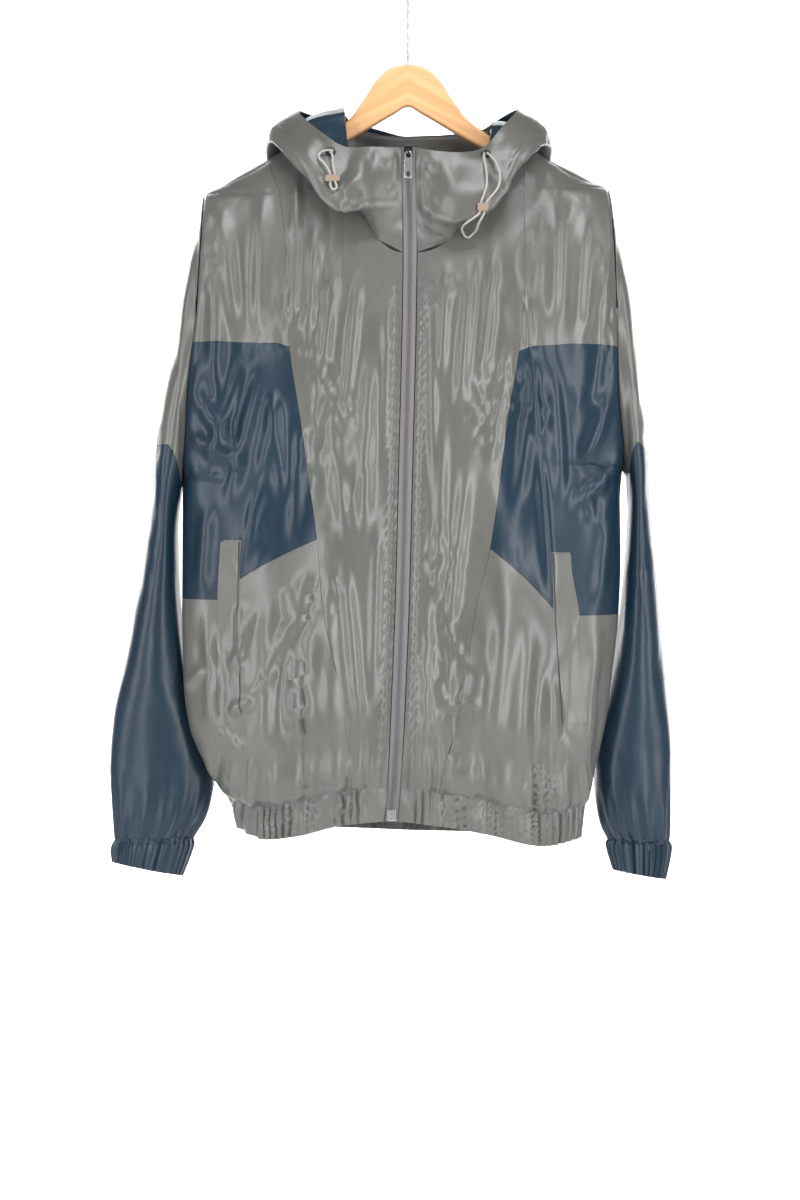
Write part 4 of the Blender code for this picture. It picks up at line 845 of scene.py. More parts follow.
def band_height(height, x, drop, near_zip, seed):
    """Fades the creases out towards the hem's band and puts its gathers in."""
    loose = smoothstep(6, 40, near_zip)
    gather = smoothstep(BAND_TOP - 95, BAND_TOP, drop) * loose
    height = height * (1 - 0.75 * gather)
    wide = shirr(x + 4 * noise(x / 40, drop / 70, seed + 2), seed, 21)
    height += gather * (2.4 * wide + 1.0 * shirr(x, seed + 5, 11))
    blouse = smoothstep(BAND_TOP - 50, BAND_TOP - 14, drop) * smoothstep(BAND_TOP + 1, BAND_TOP - 9, drop)
    height += 4.5 * blouse * loose
    band = smoothstep(BAND_TOP - 2, BAND_TOP + 3, drop)
    ribs = 2.5 * shirr(x + 1.2 * noise(x / 20, drop / 14, seed + 12), seed + 9, 8) * smoothstep(16, 26, near_zip)
    roll = 1.6 * np.sin(np.clip((drop - BAND_TOP) / (HEM - BAND_TOP), 0, 1) * math.pi)
    return height * (1 - band) + band * (ribs * 0.9 + roll)


def cloth_surface(side, front, grid):
    """Creased points of the body at a grid of (angle, drop), and the uncreased outward directions."""
    here, normal = grid_points(side, front, grid)
    x = here[..., 0]
    height = (front_height if front else back_height)(x, grid[..., 1])
    height = height * (1 - 0.8 * smoothstep(0.97, 1.0, np.sin(grid[..., 0])))  # calmer by the side seam
    height = height * smoothstep(1.0, 30.0, neck_distance(side, front, x, grid[..., 1]))
    return here + normal * height[..., None], normal


def neck_distance(side, front, x, drop):
    """About how far a point is from the neckline."""
    middle = float(zip_x(NECK_FRONT_DROP)) if front else float(middle_x(False, 300.0))
    low = NECK_FRONT_DROP if front else rows_of(side, False, "middle")[0]
    across = (x - middle) / (NECK[side]["x"] - middle)
    down = (drop - NECK[side]["drop"]) / (low - NECK[side]["drop"])
    return np.abs(np.hypot(across, down) - 1) * 70


# ---------------------------------------------------------------- meshes


def mesh_object(name, points, faces, surface, body="jacket", smooth=True, sharp=40):
    mesh = bpy.data.meshes.new(name)
    mesh.from_pydata((np.asarray(points, float) * MM).tolist(), [], faces)
    if smooth:
        mesh.shade_smooth()
        if sharp:
            mesh.set_sharp_from_angle(angle=math.radians(sharp))
    mesh.materials.append(surface)
    made = bpy.data.objects.new(name, mesh)
    bpy.context.scene.collection.objects.link(made)
    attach(made, body)
    return made


def stand_for(node):
    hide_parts(node)


class Sheet:
    """Fine grids of points joined into one sheet, then made into a thin closed wall."""

    def __init__(self):
        self.grids = []

    def add(self, points, outward):
        facing = np.cross(points[:-1, 1:] - points[:-1, :-1], points[1:, :-1] - points[:-1, :-1])
        turned = (facing * outward[:-1, :-1]).sum() < 0
        self.grids.append((points, turned))

    def joined(self):
        points, faces, count = [], [], 0
        for grid, turned in self.grids:
            rows, columns = grid.shape[:2]
            ids = np.arange(rows * columns).reshape(rows, columns) + count
            quads = np.stack([ids[:-1, :-1], ids[:-1, 1:], ids[1:, 1:], ids[1:, :-1]], axis=-1).reshape(-1, 4)
            faces.append(quads[:, ::-1] if turned else quads)
            points.append(grid.reshape(-1, 3))
            count += rows * columns
        points, faces = np.vstack(points), np.vstack(faces)
        _, first, index = np.unique(np.round(points, 2), axis=0, return_index=True, return_inverse=True)
        return points[first], index.reshape(-1)[faces]

    def wall(self, name, surface, inner, outer, trim=SEAM_GAP / 2):
        points, faces = self.joined()
        ends = np.stack([faces, np.roll(faces, -1, axis=1)], axis=-1).reshape(-1, 2)
        ends = ends[ends[:, 0] != ends[:, 1]]
        count = len(points)
        codes = ends[:, 0] * count + ends[:, 1]
        rim = ends[~np.isin(codes, ends[:, 1] * count + ends[:, 0])]
        normal = vertex_normals(points, faces)
        if trim:
            along = points[rim[:, 1]] - points[rim[:, 0]]
            along /= np.linalg.norm(along, axis=1, keepdims=True) + 1e-12
            inward = np.zeros_like(points)
            for end in (0, 1):
                np.add.at(inward, rim[:, end], np.cross(normal[rim[:, end]], along))
            size = np.linalg.norm(inward, axis=1)
            move = size > 0.3
            points = points.copy()
            points[move] += inward[move] / size[move, None] * trim
        quads = [[v for k, v in enumerate(f) if v != f[k - 1]] for f in faces.tolist()]
        quads = [f for f in quads if len(f) > 2]
        solid = quads + [[v + count for v in reversed(f)] for f in quads]
        solid += [[b, a, a + count, b + count] for a, b in rim.tolist()]
        made = np.vstack([points + normal * outer, points + normal * inner])
        return mesh_object(name, made, solid, surface, sharp=60)


def vertex_normals(points, faces):
    normal = np.zeros_like(points)
    a, b, c, d = (points[faces[:, k]] for k in range(4))
    facing = np.cross(c - a, d - b)
    for k in range(4):
        np.add.at(normal, faces[:, k], facing)
    return normal / (np.linalg.norm(normal, axis=1, keepdims=True) + 1e-12)


def stitches(name, paths, surface, length=2.3, gap=0.9, radius=0.28):
    """Short threads along (points, outward) paths, sunk a little into the cloth."""
    points, faces = [], []
    for path, outward in paths:
        run = run_along(path)
        starts = np.arange(1.0, run[-1] - length - 1, length + gap)
        a, b = at_run(starts, run, path), at_run(starts + length, run, path)
        up = at_run(starts + length / 2, run, outward)
        along = (b - a) / np.linalg.norm(b - a, axis=1, keepdims=True)
        up /= np.linalg.norm(up, axis=1, keepdims=True)
        aside = np.cross(along, up)
        for k in range(len(starts)):
            base = len(points)
            for end, rise in ((a[k], -0.15), ((a[k] + b[k]) / 2, 0.22), (b[k], -0.15)):
                for turn in range(5):
                    t = 2 * math.pi * turn / 5
                    points.append(end + up[k] * rise + radius * (aside[k] * math.cos(t) + up[k] * math.sin(t)))
            for ring in (0, 5):
                for turn in range(5):
                    n = (turn + 1) % 5
                    faces.append([base + ring + turn, base + ring + n, base + ring + 5 + n, base + ring + 5 + turn])
            faces += [[base + 4 - i for i in range(5)], [base + 10 + i for i in range(5)]]
    made = mesh_object(name, points, faces, surface, sharp=0)
    fix_normals(made)
    return made


def fix_normals(made):
    work = bmesh.new()
    work.from_mesh(made.data)
    bmesh.ops.recalc_face_normals(work, faces=work.faces)
    work.to_mesh(made.data)
    work.free()


def tube(name, path, radius, surface, segments=20, body="jacket"):
    path = np.asarray(path, float)
    tangent = np.gradient(path, axis=0)
    tangent /= np.linalg.norm(tangent, axis=1, keepdims=True)
    side = np.cross(tangent[0], [0.0, 1.0, 0.0])
    points, faces = [], []
    for i, (here, way) in enumerate(zip(path, tangent)):
        side = side - way * (side @ way)
        side /= np.linalg.norm(side)
        other = np.cross(way, side)
        for k in range(segments):
            a = 2 * math.pi * k / segments
            points.append(here + radius * (side * math.cos(a) + other * math.sin(a)))
            if i:
                n = (k + 1) % segments
                faces.append([(i - 1) * segments + k, (i - 1) * segments + n, i * segments + n, i * segments + k])
    last = (len(path) - 1) * segments
    faces += [list(range(segments))[::-1], [last + k for k in range(segments)]]
    made = mesh_object(name, points, faces, surface, body)
    fix_normals(made)
    return made


# ---------------------------------------------------------------- materials


def shader(name, colour, roughness, metallic=0.0, **sockets):
    made = bpy.data.materials.new(name)
    made.use_nodes = True
    bsdf = made.node_tree.nodes["Principled BSDF"]
    bsdf.inputs["Base Color"].default_value = (*colour, 1)
    bsdf.inputs["Roughness"].default_value = roughness
    bsdf.inputs["Metallic"].default_value = metallic
    for key, value in sockets.items():
        bsdf.inputs[key.replace("_", " ").title().replace("Ior", "IOR")].default_value = value
    return made, made.node_tree, bsdf


def texture(tree, kind, coordinates, **settings):
    node = tree.nodes.new(kind)
    for key, value in settings.items():
        if hasattr(node, key):
            setattr(node, key, value)
        else:
            node.inputs[key.replace("_", " ").title()].default_value = value
    tree.links.new(coordinates, node.inputs["Vector"])
    return node


def object_space(tree):
    return tree.nodes.new("ShaderNodeTexCoord").outputs["Object"]


def scaled(tree, coordinates, scale, turn=(0, 0, 0)):
    node = tree.nodes.new("ShaderNodeMapping")
    node.inputs["Scale"].default_value = scale
    node.inputs["Rotation"].default_value = turn
    tree.links.new(coordinates, node.inputs["Vector"])
    return node.outputs["Vector"]


def bump(tree, height, distance, strength, before=None, onto=None):
    """A bump over the one before it; the last of a material goes onto its shader."""
    node = tree.nodes.new("ShaderNodeBump")
    node.inputs["Distance"].default_value = distance
    node.inputs["Strength"].default_value = strength
    tree.links.new(height, node.inputs["Height"])
    if before:
        tree.links.new(before.outputs["Normal"], node.inputs["Normal"])
    if onto:
        tree.links.new(node.outputs["Normal"], onto.inputs["Normal"])
    return node


def tinted(tree, bsdf, fac, low, high, a=0.35, b=0.65):
    ramp = tree.nodes.new("ShaderNodeValToRGB")
    ramp.color_ramp.elements[0].position, ramp.color_ramp.elements[1].position = a, b
    ramp.color_ramp.elements[0].color, ramp.color_ramp.elements[1].color = (*low, 1), (*high, 1)
    tree.links.new(fac, ramp.inputs["Fac"])
    tree.links.new(ramp.outputs["Color"], bsdf.inputs["Base Color"])
    return ramp


def taffeta(name, colour, roughness, shade=0.1, sheen=0.1, gloss=0.55):
    """Thin crisp plain-woven cloth: a fine rib, small creases and a slightly uneven colour."""
    made, tree, bsdf = shader(
        name, colour, roughness, sheen_weight=sheen, sheen_roughness=0.35, specular_ior_level=gloss
    )
    bsdf.inputs["Sheen Tint"].default_value = (*[min(1, c * 2.2 + 0.25) for c in colour], 1)
    place = object_space(tree)
    low, high = [c * (1 - shade) for c in colour], [c * (1 + shade) for c in colour]
    cloud = texture(tree, "ShaderNodeTexNoise", scaled(tree, place, (1, 1, 0.35)), scale=26, detail=5, roughness=0.6)
    tinted(tree, bsdf, cloud.outputs["Fac"], low, high)
    creased = texture(
        tree, "ShaderNodeTexNoise", scaled(tree, place, (1, 1, 0.42)), noise_type="RIDGED_MULTIFRACTAL", scale=30,
        detail=3, roughness=0.45,
    )  # fmt: skip
    first = bump(tree, creased.outputs["Fac"], 0.0016, 0.55)
    small = texture(tree, "ShaderNodeTexNoise", scaled(tree, place, (1, 1, 0.5)), scale=150, detail=3, roughness=0.5)
    second = bump(tree, small.outputs["Fac"], 0.0005, 0.35, first)
    rib = texture(tree, "ShaderNodeTexWave", place, bands_direction="Z", scale=420, distortion=1.5, detail=1)
    bump(tree, rib.outputs["Fac"], 0.00006, 0.3, second, bsdf)
    return made


ARM_SLOPE = 0.53  # how steeply the hanger's arms fall, which the grain follows


def wood_material():
    made, tree, bsdf = shader("hanger_wood", (0.72, 0.43, 0.22), 0.38, coat_weight=0.25, coat_roughness=0.25)
    place = object_space(tree)
    split = tree.nodes.new("ShaderNodeSeparateXYZ")
    tree.links.new(place, split.inputs[0])
    away = tree.nodes.new("ShaderNodeMath")
    away.operation = "ABSOLUTE"
    tree.links.new(split.outputs["X"], away.inputs[0])
    across = tree.nodes.new("ShaderNodeMath")
    across.operation = "MULTIPLY_ADD"
    across.inputs[1].default_value = ARM_SLOPE
    tree.links.new(away.outputs[0], across.inputs[0])
    tree.links.new(split.outputs["Z"], across.inputs[2])
    joined = tree.nodes.new("ShaderNodeCombineXYZ")
    tree.links.new(split.outputs["X"], joined.inputs["X"])
    tree.links.new(split.outputs["Y"], joined.inputs["Y"])
    tree.links.new(across.outputs[0], joined.inputs["Z"])
    grain = texture(
        tree, "ShaderNodeTexNoise", scaled(tree, joined.outputs[0], (4, 40, 95)), scale=1.6, detail=6, roughness=0.55,
        distortion=0.3,
    )  # fmt: skip
    tinted(tree, bsdf, grain.outputs["Fac"], (0.50, 0.255, 0.105), (0.66, 0.385, 0.19), 0.3, 0.72)
    pores = texture(tree, "ShaderNodeTexNoise", scaled(tree, joined.outputs[0], (20, 300, 700)), scale=1.5, detail=2)
    bump(tree, pores.outputs["Fac"], 0.0002, 0.25, onto=bsdf)
    return made


BRAID_TURN = 0.7  # radians that the two sets of strands lean either way


def braid_material(name, colour):
    made, tree, bsdf = shader(name, colour, 0.75, sheen_weight=0.3)
    place = object_space(tree)
    one, two = (
        texture(
            tree, "ShaderNodeTexWave", scaled(tree, place, (1, 1, 1), (0, turn, 0)), scale=380, distortion=1.0, detail=1
        )
        for turn in (BRAID_TURN, -BRAID_TURN)
    )
    first = bump(tree, one.outputs["Fac"], 0.0003, 0.6)
    bump(tree, two.outputs["Fac"], 0.0003, 0.6, first, bsdf)
    # Painted light and shade: the strands of one set are painted lighter on their crowns and darker in the grooves
    # between them, following that set's bump.
    tinted(tree, bsdf, one.outputs["Fac"], [c * 0.75 for c in colour], [min(1, c * 1.12) for c in colour], 0.1, 0.8)
    return made


def speckled(name, colour, roughness, metallic=0.0, scale=900, distance=0.00005, **sockets):
    made, tree, bsdf = shader(name, colour, roughness, metallic, **sockets)
    place = object_space(tree)
    grain = texture(tree, "ShaderNodeTexNoise", place, scale=scale, detail=3)
    tinted(tree, bsdf, grain.outputs["Fac"], [c * 0.88 for c in colour], [min(1, c * 1.1) for c in colour])
    bump(tree, grain.outputs["Fac"], distance, 0.5, onto=bsdf)
    return made


def all_materials():
    light, dark = (0.079, 0.0785, 0.072), (0.0062, 0.0185, 0.033)
    return {
        "shell": taffeta("shell_cloth", light, 0.33, sheen=0.08),
        "dark": taffeta("dark_cloth", dark, 0.33, sheen=0.02, gloss=0.31),
        "lining": taffeta("lining_cloth", (0.008, 0.022, 0.037), 0.4, sheen=0.03, gloss=0.33),
        "tape": braid_material("zip_tape", (0.150, 0.143, 0.150)),
        "coil": speckled("zip_coil", (0.12, 0.11, 0.12), 0.35),
        "thread": speckled("thread_light", (0.12, 0.115, 0.10), 0.7),
        "metal": speckled("bright_metal", (0.72, 0.72, 0.73), 0.24, 1.0, 400, 0.00002),
        "hook": speckled("hook_metal", (0.36, 0.37, 0.39), 0.25, 1.0, 300, 0.00001),
        "black": speckled("black_enamel", (0.012, 0.012, 0.014), 0.3, 0.4),
        "wood": wood_material(),
        "cord": braid_material("drawcord", (0.34, 0.32, 0.30)),
        "stopper": speckled("stopper", (0.22, 0.155, 0.115), 0.45),
    }


# ---------------------------------------------------------------- cloth pieces

# Cells across each column and down each row, in front (True) and behind.
ACROSS = {True: (44, 36, 16, 16, 42), False: (24, 16, 8, 8, 22)}
DOWN = {True: (72, 50, 22, 16, 26, 86, 18), False: (36, 24, 11, 8, 12, 44, 10)}
BAND_ACROSS = {True: (80, 40, 22, 20, 60), False: (54, 30, 16, 16, 44)}


def declare(made, node):
    stand_for(node)


def panel(side, front, blocks):
    sheet = Sheet()
    for c, first, last in blocks:
        ends = ("middle", "neck") if c == 0 and not front else COLUMN_ENDS[c]
        for r in range(first, last):
            across = (BAND_ACROSS if r == BAND_ROW else ACROSS)[front][c]
            grid = block_grid(side, front, ends, r, across, DOWN[front][r])
            sheet.add(*cloth_surface(side, front, grid))
    return sheet


def all_columns(first, last):
    return [(column, first, last) for column in range(len(COLUMN_ENDS))]


def make_body(paint):
    for side in SIDES:
        for name, blocks in FRONT_PANELS.items():
            cloth = paint["dark"] if name == BLOCK else paint["shell"]
            made = panel(side, True, blocks).wall(f"{name}_{side}_cloth", cloth, WALL_IN, CLOTH)
            declare(made, f"{name}_{side}")
        band = panel(side, True, all_columns(BAND_ROW, BAND_ROW + 1))
        made = band.wall(f"hem_band_{side}_cloth", paint["shell"], WALL_IN, CLOTH)
        declare(made, f"hem_band_{side}")
    for name, first, last, held in (
        ("back", 0, BAND_ROW, "hung"),
        ("hem_band_back", BAND_ROW, BAND_ROW + 1, "gathered"),
    ):
        sheet = Sheet()
        for side in SIDES:
            sheet.grids += panel(side, False, all_columns(first, last)).grids
        declare(sheet.wall(f"{name}_cloth", paint["shell"], WALL_IN, CLOTH), name)


SLEEVE_SEEDS = {"left": 101, "right": 151}
SLEEVE_TRIM = 0.2  # cut back from a sleeve piece's edge, so that the seam shows as a gap
SLEEVE_RADIUS = 34  # of the circle that its creases are laid on


def make_sleeves(paint):
    for side in SIDES:
        seed = SLEEVE_SEEDS[side]
        angles = np.array(sleeve_angles(side, 5))
        angles = np.append(angles, angles[0] + 2 * math.pi)
        for name, start, end, rows, cloth in (
            ("sleeve_upper", lambda a: 0.0, seam_station, 84, "shell"),
            ("sleeve_lower", seam_station, lambda a: SLEEVE_END, 130, "dark"),
            ("cuff", lambda a: SLEEVE_END, lambda a: CUFF_END, 16, "dark"),
        ):
            wrapped = [a % (2 * math.pi) for a in angles]
            first, last = (np.array([f(a) for a in wrapped]) for f in (start, end))
            station = first + (last - first) * np.linspace(0, 1, rows + 1)[:, None]
            turn = np.broadcast_to(angles % (2 * math.pi), station.shape)
            here = sleeve_point(side, turn, station)
            over = sleeve_point(side, turn + 0.02, station) - sleeve_point(side, turn - 0.02, station)
            down = sleeve_point(side, turn, station + 0.02) - sleeve_point(side, turn, station - 0.02)
            normal = np.cross(over, down)
            normal /= np.linalg.norm(normal, axis=-1, keepdims=True) + 1e-9
            centre = here[:, :-1].mean(axis=1, keepdims=True)
            if ((here - centre) * normal).sum() < 0:
                normal = -normal
            height = sleeve_height(turn, here, station, seed)
            sheet = Sheet()
            sheet.add(here + normal * height[..., None], normal)
            made = sheet.wall(f"{name}_{side}_cloth", paint[cloth], WALL_IN, CLOTH, SLEEVE_TRIM)
            declare(made, f"{name}_{side}")


def sleeve_height(turn, here, station, seed):
    """Creases round a sleeve. The noise is laid on a circle of the sleeve's size, so that it closes."""
    round_u, round_v = SLEEVE_RADIUS * np.cos(turn), SLEEVE_RADIUS * np.sin(turn)
    drop = -here[..., 2]
    across, beside = crumple(round_u + 0.35 * round_v, drop, seed), crumple(round_v - 80, drop + 500, seed + 20)
    height = 0.6 * (across + beside) * 0.7
    height *= smoothstep(0.0, 0.8, station)
    gather = smoothstep(8.6, SLEEVE_END, station)
    height = height * (1 - 0.7 * gather) + gather * 1.9 * np.sin(14 * turn + 1.6 * np.sin(3 * turn + seed) + drop / 40)
    cuff = smoothstep(SLEEVE_END - 0.05, SLEEVE_END + 0.1, station)
    roll = 1.5 * np.sin(np.clip((station - SLEEVE_END) / (CUFF_END - SLEEVE_END), 0, 1) * math.pi)
    ribs = 1.3 * np.sin(30 * turn + 1.4 * np.sin(4 * turn + seed) + 0.8 * np.sin(7 * turn))
    return height * (1 - cuff) + cuff * (ribs + roll)


HOOD_SEEDS = {"left": 201, "right": 251}
SECTION_APART, HOOD_RISE = 58, 260  # about how far apart the sections are, and how long each is


def finer(values, steps=5):
    """Each step between the values cut into several."""
    count = len(values) - 1
    return np.interp(np.linspace(0, count, steps * count + 1), np.arange(count + 1), values)


def make_hood(paint):
    sections, rows = finer(hood_sections()), finer(HOOD_ROWS)
    for side in SIDES:
        seed = HOOD_SEEDS[side]
        points, normal = hood_grid(side, sections, rows)
        around, up = np.meshgrid(sections * SECTION_APART, rows * HOOD_RISE)
        height = crumple(around, up * 0.9, seed, 1.25)
        height *= smoothstep(0.0, 0.3, sections)[None, :] * smoothstep(7.0, 6.6, sections)[None, :] * 0.9 + 0.1
        height *= (smoothstep(0, 0.08, rows) * smoothstep(1.0, 0.9, rows) * 0.9 + 0.1)[:, None]
        points = points + normal * height[..., None]
        for name, cloth, inner, outer in (
            ("hood", "shell", 0.0, LINING),
            ("hood_lining", "lining", -LAYER_GAP - LINING, -LAYER_GAP),
        ):
            sheet = Sheet()
            sheet.add(points, normal)
            declare(sheet.wall(f"{name}_{side}_cloth", paint[cloth], inner, outer), f"{name}_{side}")


def make_welts(paint):
    for side in SIDES:
        drop = np.linspace(WELTS[side][0][0], WELTS[side][-1][0], 60)[:, None]
        near, far = hermite(*column(WELTS[side], 0, 1), drop), hermite(*column(WELTS[side], 0, 2), drop)
        x = near + (far - near) * np.linspace(0, 1, 9)
        drop = drop + 0 * x
        here, normal = cloth_surface(side, True, np.stack([angle_of(side, True, x, drop), drop], axis=-1))
        sheet = Sheet()
        sheet.add(here, normal)
        made = sheet.wall(f"pocket_welt_{side}_cloth", paint["shell"], WELT_IN, WELT_OUT)
        declare(made, f"pocket_welt_{side}")


def seam_paths(side, line, row_first, row_last, aside):
    """A path beside one of the front's lines, on the creased cloth."""
    out = []
    for r in range(row_first, row_last):
        for share in np.linspace(0.02, 1, 60)[:-1]:
            angle, drop = line_at(side, True, line, r, share)
            out.append((angle, drop))
    grid = np.array(out)
    x = zip_x(grid[:, 1]) + (side_x(side, grid[:, 1]) - zip_x(grid[:, 1])) * np.sin(grid[:, 0]) + aside
    grid = np.stack([angle_of(side, True, x, grid[:, 1]), grid[:, 1]], axis=-1)[None]
    here, normal = cloth_surface(side, True, grid)
    return here[0] + normal[0] * CLOTH, normal[0]


def make_stitches(paint):
    paths = [
        seam_paths(side, line, first, BAND_ROW, sign * aside)
        for side, sign in SIGN.items()
        for line, first, aside in (("zip", 0, 6.5), ("seam", 0, -2.2), ("pocket", 5, 4))
    ]
    stitches("topstitches", paths, paint["thread"])


TOOTH_PITCH, TOOTH_HALF = 1.25, 0.46  # along the zip
TOOTH = ((2.3, 0.75), (2.35, 1.7), (1.5, 2.35), (-0.2, 2.4), (-0.7, 1.6), (-0.7, 0.75))  # across, and out


def make_zip(paint):
    drop = np.concatenate([np.linspace(ZIP_TOP, NECK_FRONT_DROP, 60), np.linspace(NECK_FRONT_DROP, HEM, 260)[1:]])
    line = zip_line(drop)
    tangent = np.gradient(line, axis=0)
    normal = np.cross(tangent, np.array([1.0, 0, 0]))
    normal /= np.linalg.norm(normal, axis=1, keepdims=True)
    for side, sign in SIGN.items():
        offsets = np.array([TAPE_EDGE, 2.2, 4.4, ZIP_HALF - 0.8]) * sign
        strip = line[:, None, :] + offsets[None, :, None] * np.array([1.0, 0, 0])
        strip = strip + normal[:, None, :] * np.array([0.2, 0.1, -0.05, 0.1])[None, :, None]
        sheet = Sheet()
        sheet.add(strip, np.repeat(normal[:, None, :], 4, axis=1))
        made = sheet.wall(f"zip_tape_{side}_cloth", paint["tape"], -0.4, 0.55, 0)
        stand_for(f"zip_tape_{side}")
    low = drop > SLIDER_DROP + 9
    run = run_along(line[low])
    points, faces = [], []
    for i, at in enumerate(np.arange(0.6, run[-1] - 10, TOOTH_PITCH)):
        here, out = at_run(at, run, line[low]), at_run(at, run, normal[low])
        along = np.cross(out, [1.0, 0, 0])
        sign = 1 if i % 2 else -1
        base = len(points)
        for step in (-TOOTH_HALF, TOOTH_HALF):
            for px, rise in TOOTH:
                points.append(here + np.array([px * sign, 0, 0]) + out * rise + along * step)
        faces += [[base + k for k in range(6)], [base + 11 - k for k in range(6)]]
        faces += [[base + k, base + (k + 1) % 6, base + 6 + (k + 1) % 6, base + 6 + k] for k in range(6)]
    chain = mesh_object("zip_coil", points, faces, paint["coil"], sharp=30)
    fix_normals(chain)
    stand_for("zip_chain")


# ---------------------------------------------------------------- hardware


HARDWARE = {  # solids that keep their shape, and their materials
    "zip_slider": "black", "zip_pull": "metal", "zip_box": "metal", "eyelet_left": "black", "eyelet_right": "black",
    "cord_stopper_left": "stopper", "cord_stopper_right": "stopper",
}  # fmt: skip
METAL_ROUND, HANGER_ROUND = 0.2, 3.4  # how far the edges are rounded


def make_hardware(paint, frame):
    for name, key in HARDWARE.items():
        node = frame["nodes"][name]
        node.data.materials.clear()
        node.data.materials.append(paint[key])
        edge = node.modifiers.new("Round", "BEVEL")
        edge.width = METAL_ROUND * MM
        edge.segments = 2
        edge.limit_method = "ANGLE"


def make_cords(paint):
    for side in SIDES:
        path = cord_path(side)
        curve = bpy.data.curves.new(f"drawcord_{side}_braid", "CURVE")
        curve.dimensions = "3D"
        curve.bevel_depth = CORD_RADIUS * MM
        curve.bevel_resolution = 4
        curve.use_fill_caps = True
        line = curve.splines.new("POLY")
        line.points.add(len(path) - 1)
        for point, co in zip(line.points, path):
            point.co = (*(float(c) * MM for c in co), 1)
        curve.materials.append(paint["cord"])
        made = bpy.data.objects.new(f"drawcord_{side}_braid", curve)
        bpy.context.scene.collection.objects.link(made)
        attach(made, "jacket")
        stand_for(f"drawcord_{side}")


def make_hanger(paint):
    outline = np.array(hanger_outline(), float)
    loop = np.vstack([outline[-3:], outline, outline[:3]])
    fine = smooth_path(np.column_stack([loop, np.zeros(len(loop))]), 420)[:, :2]
    first = int(np.argmin(np.hypot(*(fine[: len(fine) // 3] - outline[0]).T)))
    second = len(fine) // 2 + int(np.argmin(np.hypot(*(fine[len(fine) // 2 :] - outline[0]).T)))
    fine = fine[first:second]
    count = len(fine)
    y = HANGER_THICK / 2
    points = [(x, -y, -d) for x, d in fine] + [(x, y, -d) for x, d in fine]
    faces = [list(range(count)), list(range(2 * count - 1, count - 1, -1))]
    faces += [[i, i + count, (i + 1) % count + count, (i + 1) % count] for i in range(count)]
    body = mesh_object("hanger_wood_body", points, faces, paint["wood"], sharp=0)
    fix_normals(body)
    edge = body.modifiers.new("Edges", "BEVEL")
    edge.width = HANGER_ROUND * MM
    edge.segments = 5
    edge.limit_method = "ANGLE"
    edge.angle_limit = math.radians(60)
    edge.harden_normals = True
    stand_for("hanger_body")
    path = np.array(hook_path())
    run = run_along(path)
    even = at_run(np.linspace(0, run[-1], 160), run, path)
    even[0, 2] = -(HANGER_TOP[0][1] + 1)
    hook = tube("hanger_hook_wire", even, HOOK_WIRE, paint["hook"])
    stand_for("hanger_hook")


# ---------------------------------------------------------------- camera, floor and light


CAMERA_AT, CAMERA_LENS = (-0.0084, -3.0, -0.6924), 85.7
FLOOR_Z, WALL_Y, WALL_TOP, STAGE_HALF = -1.62, 4.4, 5.0, 7.0  # metres, as is all of the stage
SWEEP = 1.2  # radius of the bend between the floor and the wall
JACKET_MIDDLE, WALL_MIDDLE = (0, 0, -0.55), (0, 4.2, -0.6)  # what the lights are aimed at
LIGHTS = (  # name, place, width, height, power
    ("key", (1.35, -2.45, -0.45), 0.26, 2.3, 48),
    ("left", (-1.55, -2.2, -0.45), 0.30, 2.3, 36),
    ("right_side", (2.0, -0.9, -0.4), 0.5, 1.8, 26),
    ("left_side", (-2.1, -0.8, -0.4), 0.5, 1.8, 22),
    ("top", (0.1, -1.5, 1.35), 1.6, 0.5, 40),
    ("back_right", (1.7, 2.1, -0.4), 0.3, 2.2, 26),
    ("back_left", (-1.7, 2.1, -0.4), 0.3, 2.2, 30),
    ("wall", (0.0, 2.6, 1.9), 3.0, 3.0, 290),
)


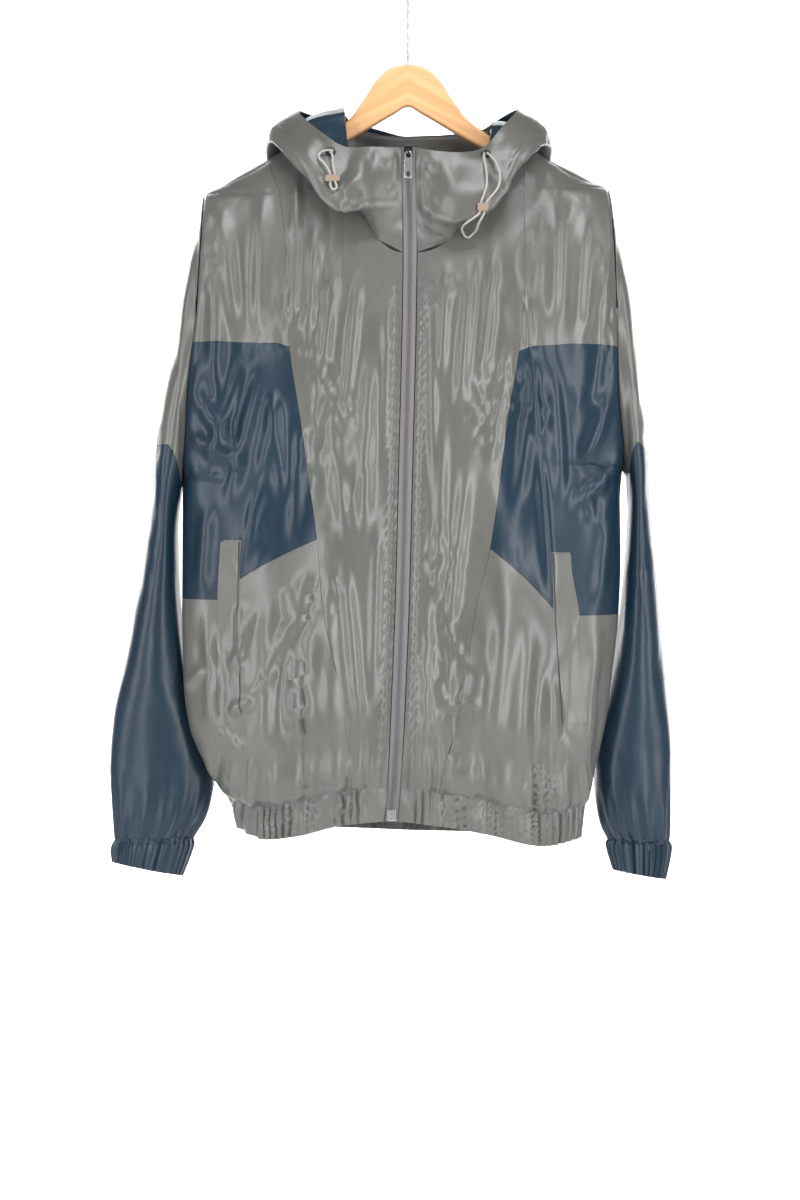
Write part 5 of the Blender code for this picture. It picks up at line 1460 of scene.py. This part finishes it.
def make_stage():
    scene = bpy.context.scene
    lens = bpy.data.cameras.new("camera")
    lens.lens, lens.sensor_width, lens.clip_end = CAMERA_LENS, 36, 50
    camera = bpy.data.objects.new("camera", lens)
    camera.location = CAMERA_AT
    camera.rotation_euler = (math.radians(90), 0, 0)
    scene.collection.objects.link(camera)
    scene.camera = camera
    plain = bpy.data.materials.new("stage")
    plain.use_nodes = True
    bsdf = plain.node_tree.nodes["Principled BSDF"]
    bsdf.inputs["Base Color"].default_value = (0.92, 0.92, 0.92, 1)
    bsdf.inputs["Roughness"].default_value = 0.9
    bend = [(math.sin(a), 1 - math.cos(a)) for a in np.linspace(0, math.pi / 2, 16)]
    profile = [(-STAGE_HALF, FLOOR_Z)]
    profile += [(WALL_Y - SWEEP + SWEEP * y, FLOOR_Z + SWEEP * z) for y, z in bend] + [(WALL_Y, WALL_TOP)]
    points = [(x, y, z) for x in (-STAGE_HALF, STAGE_HALF) for y, z in profile]
    count = len(profile)
    mesh = bpy.data.meshes.new("sweep")
    mesh.from_pydata(points, [], [[i, i + 1, i + 1 + count, i + count] for i in range(count - 1)])
    mesh.shade_smooth()
    mesh.materials.append(plain)
    sweep = bpy.data.objects.new("sweep", mesh)
    scene.collection.objects.link(sweep)
    for name, place, width, height, power in LIGHTS:
        data = bpy.data.lights.new(name, "AREA")
        data.shape, data.size, data.size_y, data.energy = "RECTANGLE", width, height, power
        made = bpy.data.objects.new(name, data)
        made.location = place
        aim = Vector(WALL_MIDDLE if name == "wall" else JACKET_MIDDLE)
        made.rotation_euler = (aim - made.location).to_track_quat("-Z", "Y").to_euler()
        scene.collection.objects.link(made)
    world = bpy.data.worlds.new("world")
    world.use_nodes = True
    background = world.node_tree.nodes["Background"]
    background.inputs["Color"].default_value = (1, 1, 1, 1)
    background.inputs["Strength"].default_value = 0.26
    scene.world = world
    scene.view_settings.view_transform = "Standard"


def main():
    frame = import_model()
    make_stage()
    paint = all_materials()
    make_cords(paint)
    make_body(paint)
    make_sleeves(paint)
    make_hood(paint)
    make_welts(paint)
    make_zip(paint)
    make_stitches(paint)
    make_hardware(paint, frame)
    make_hanger(paint)


main()
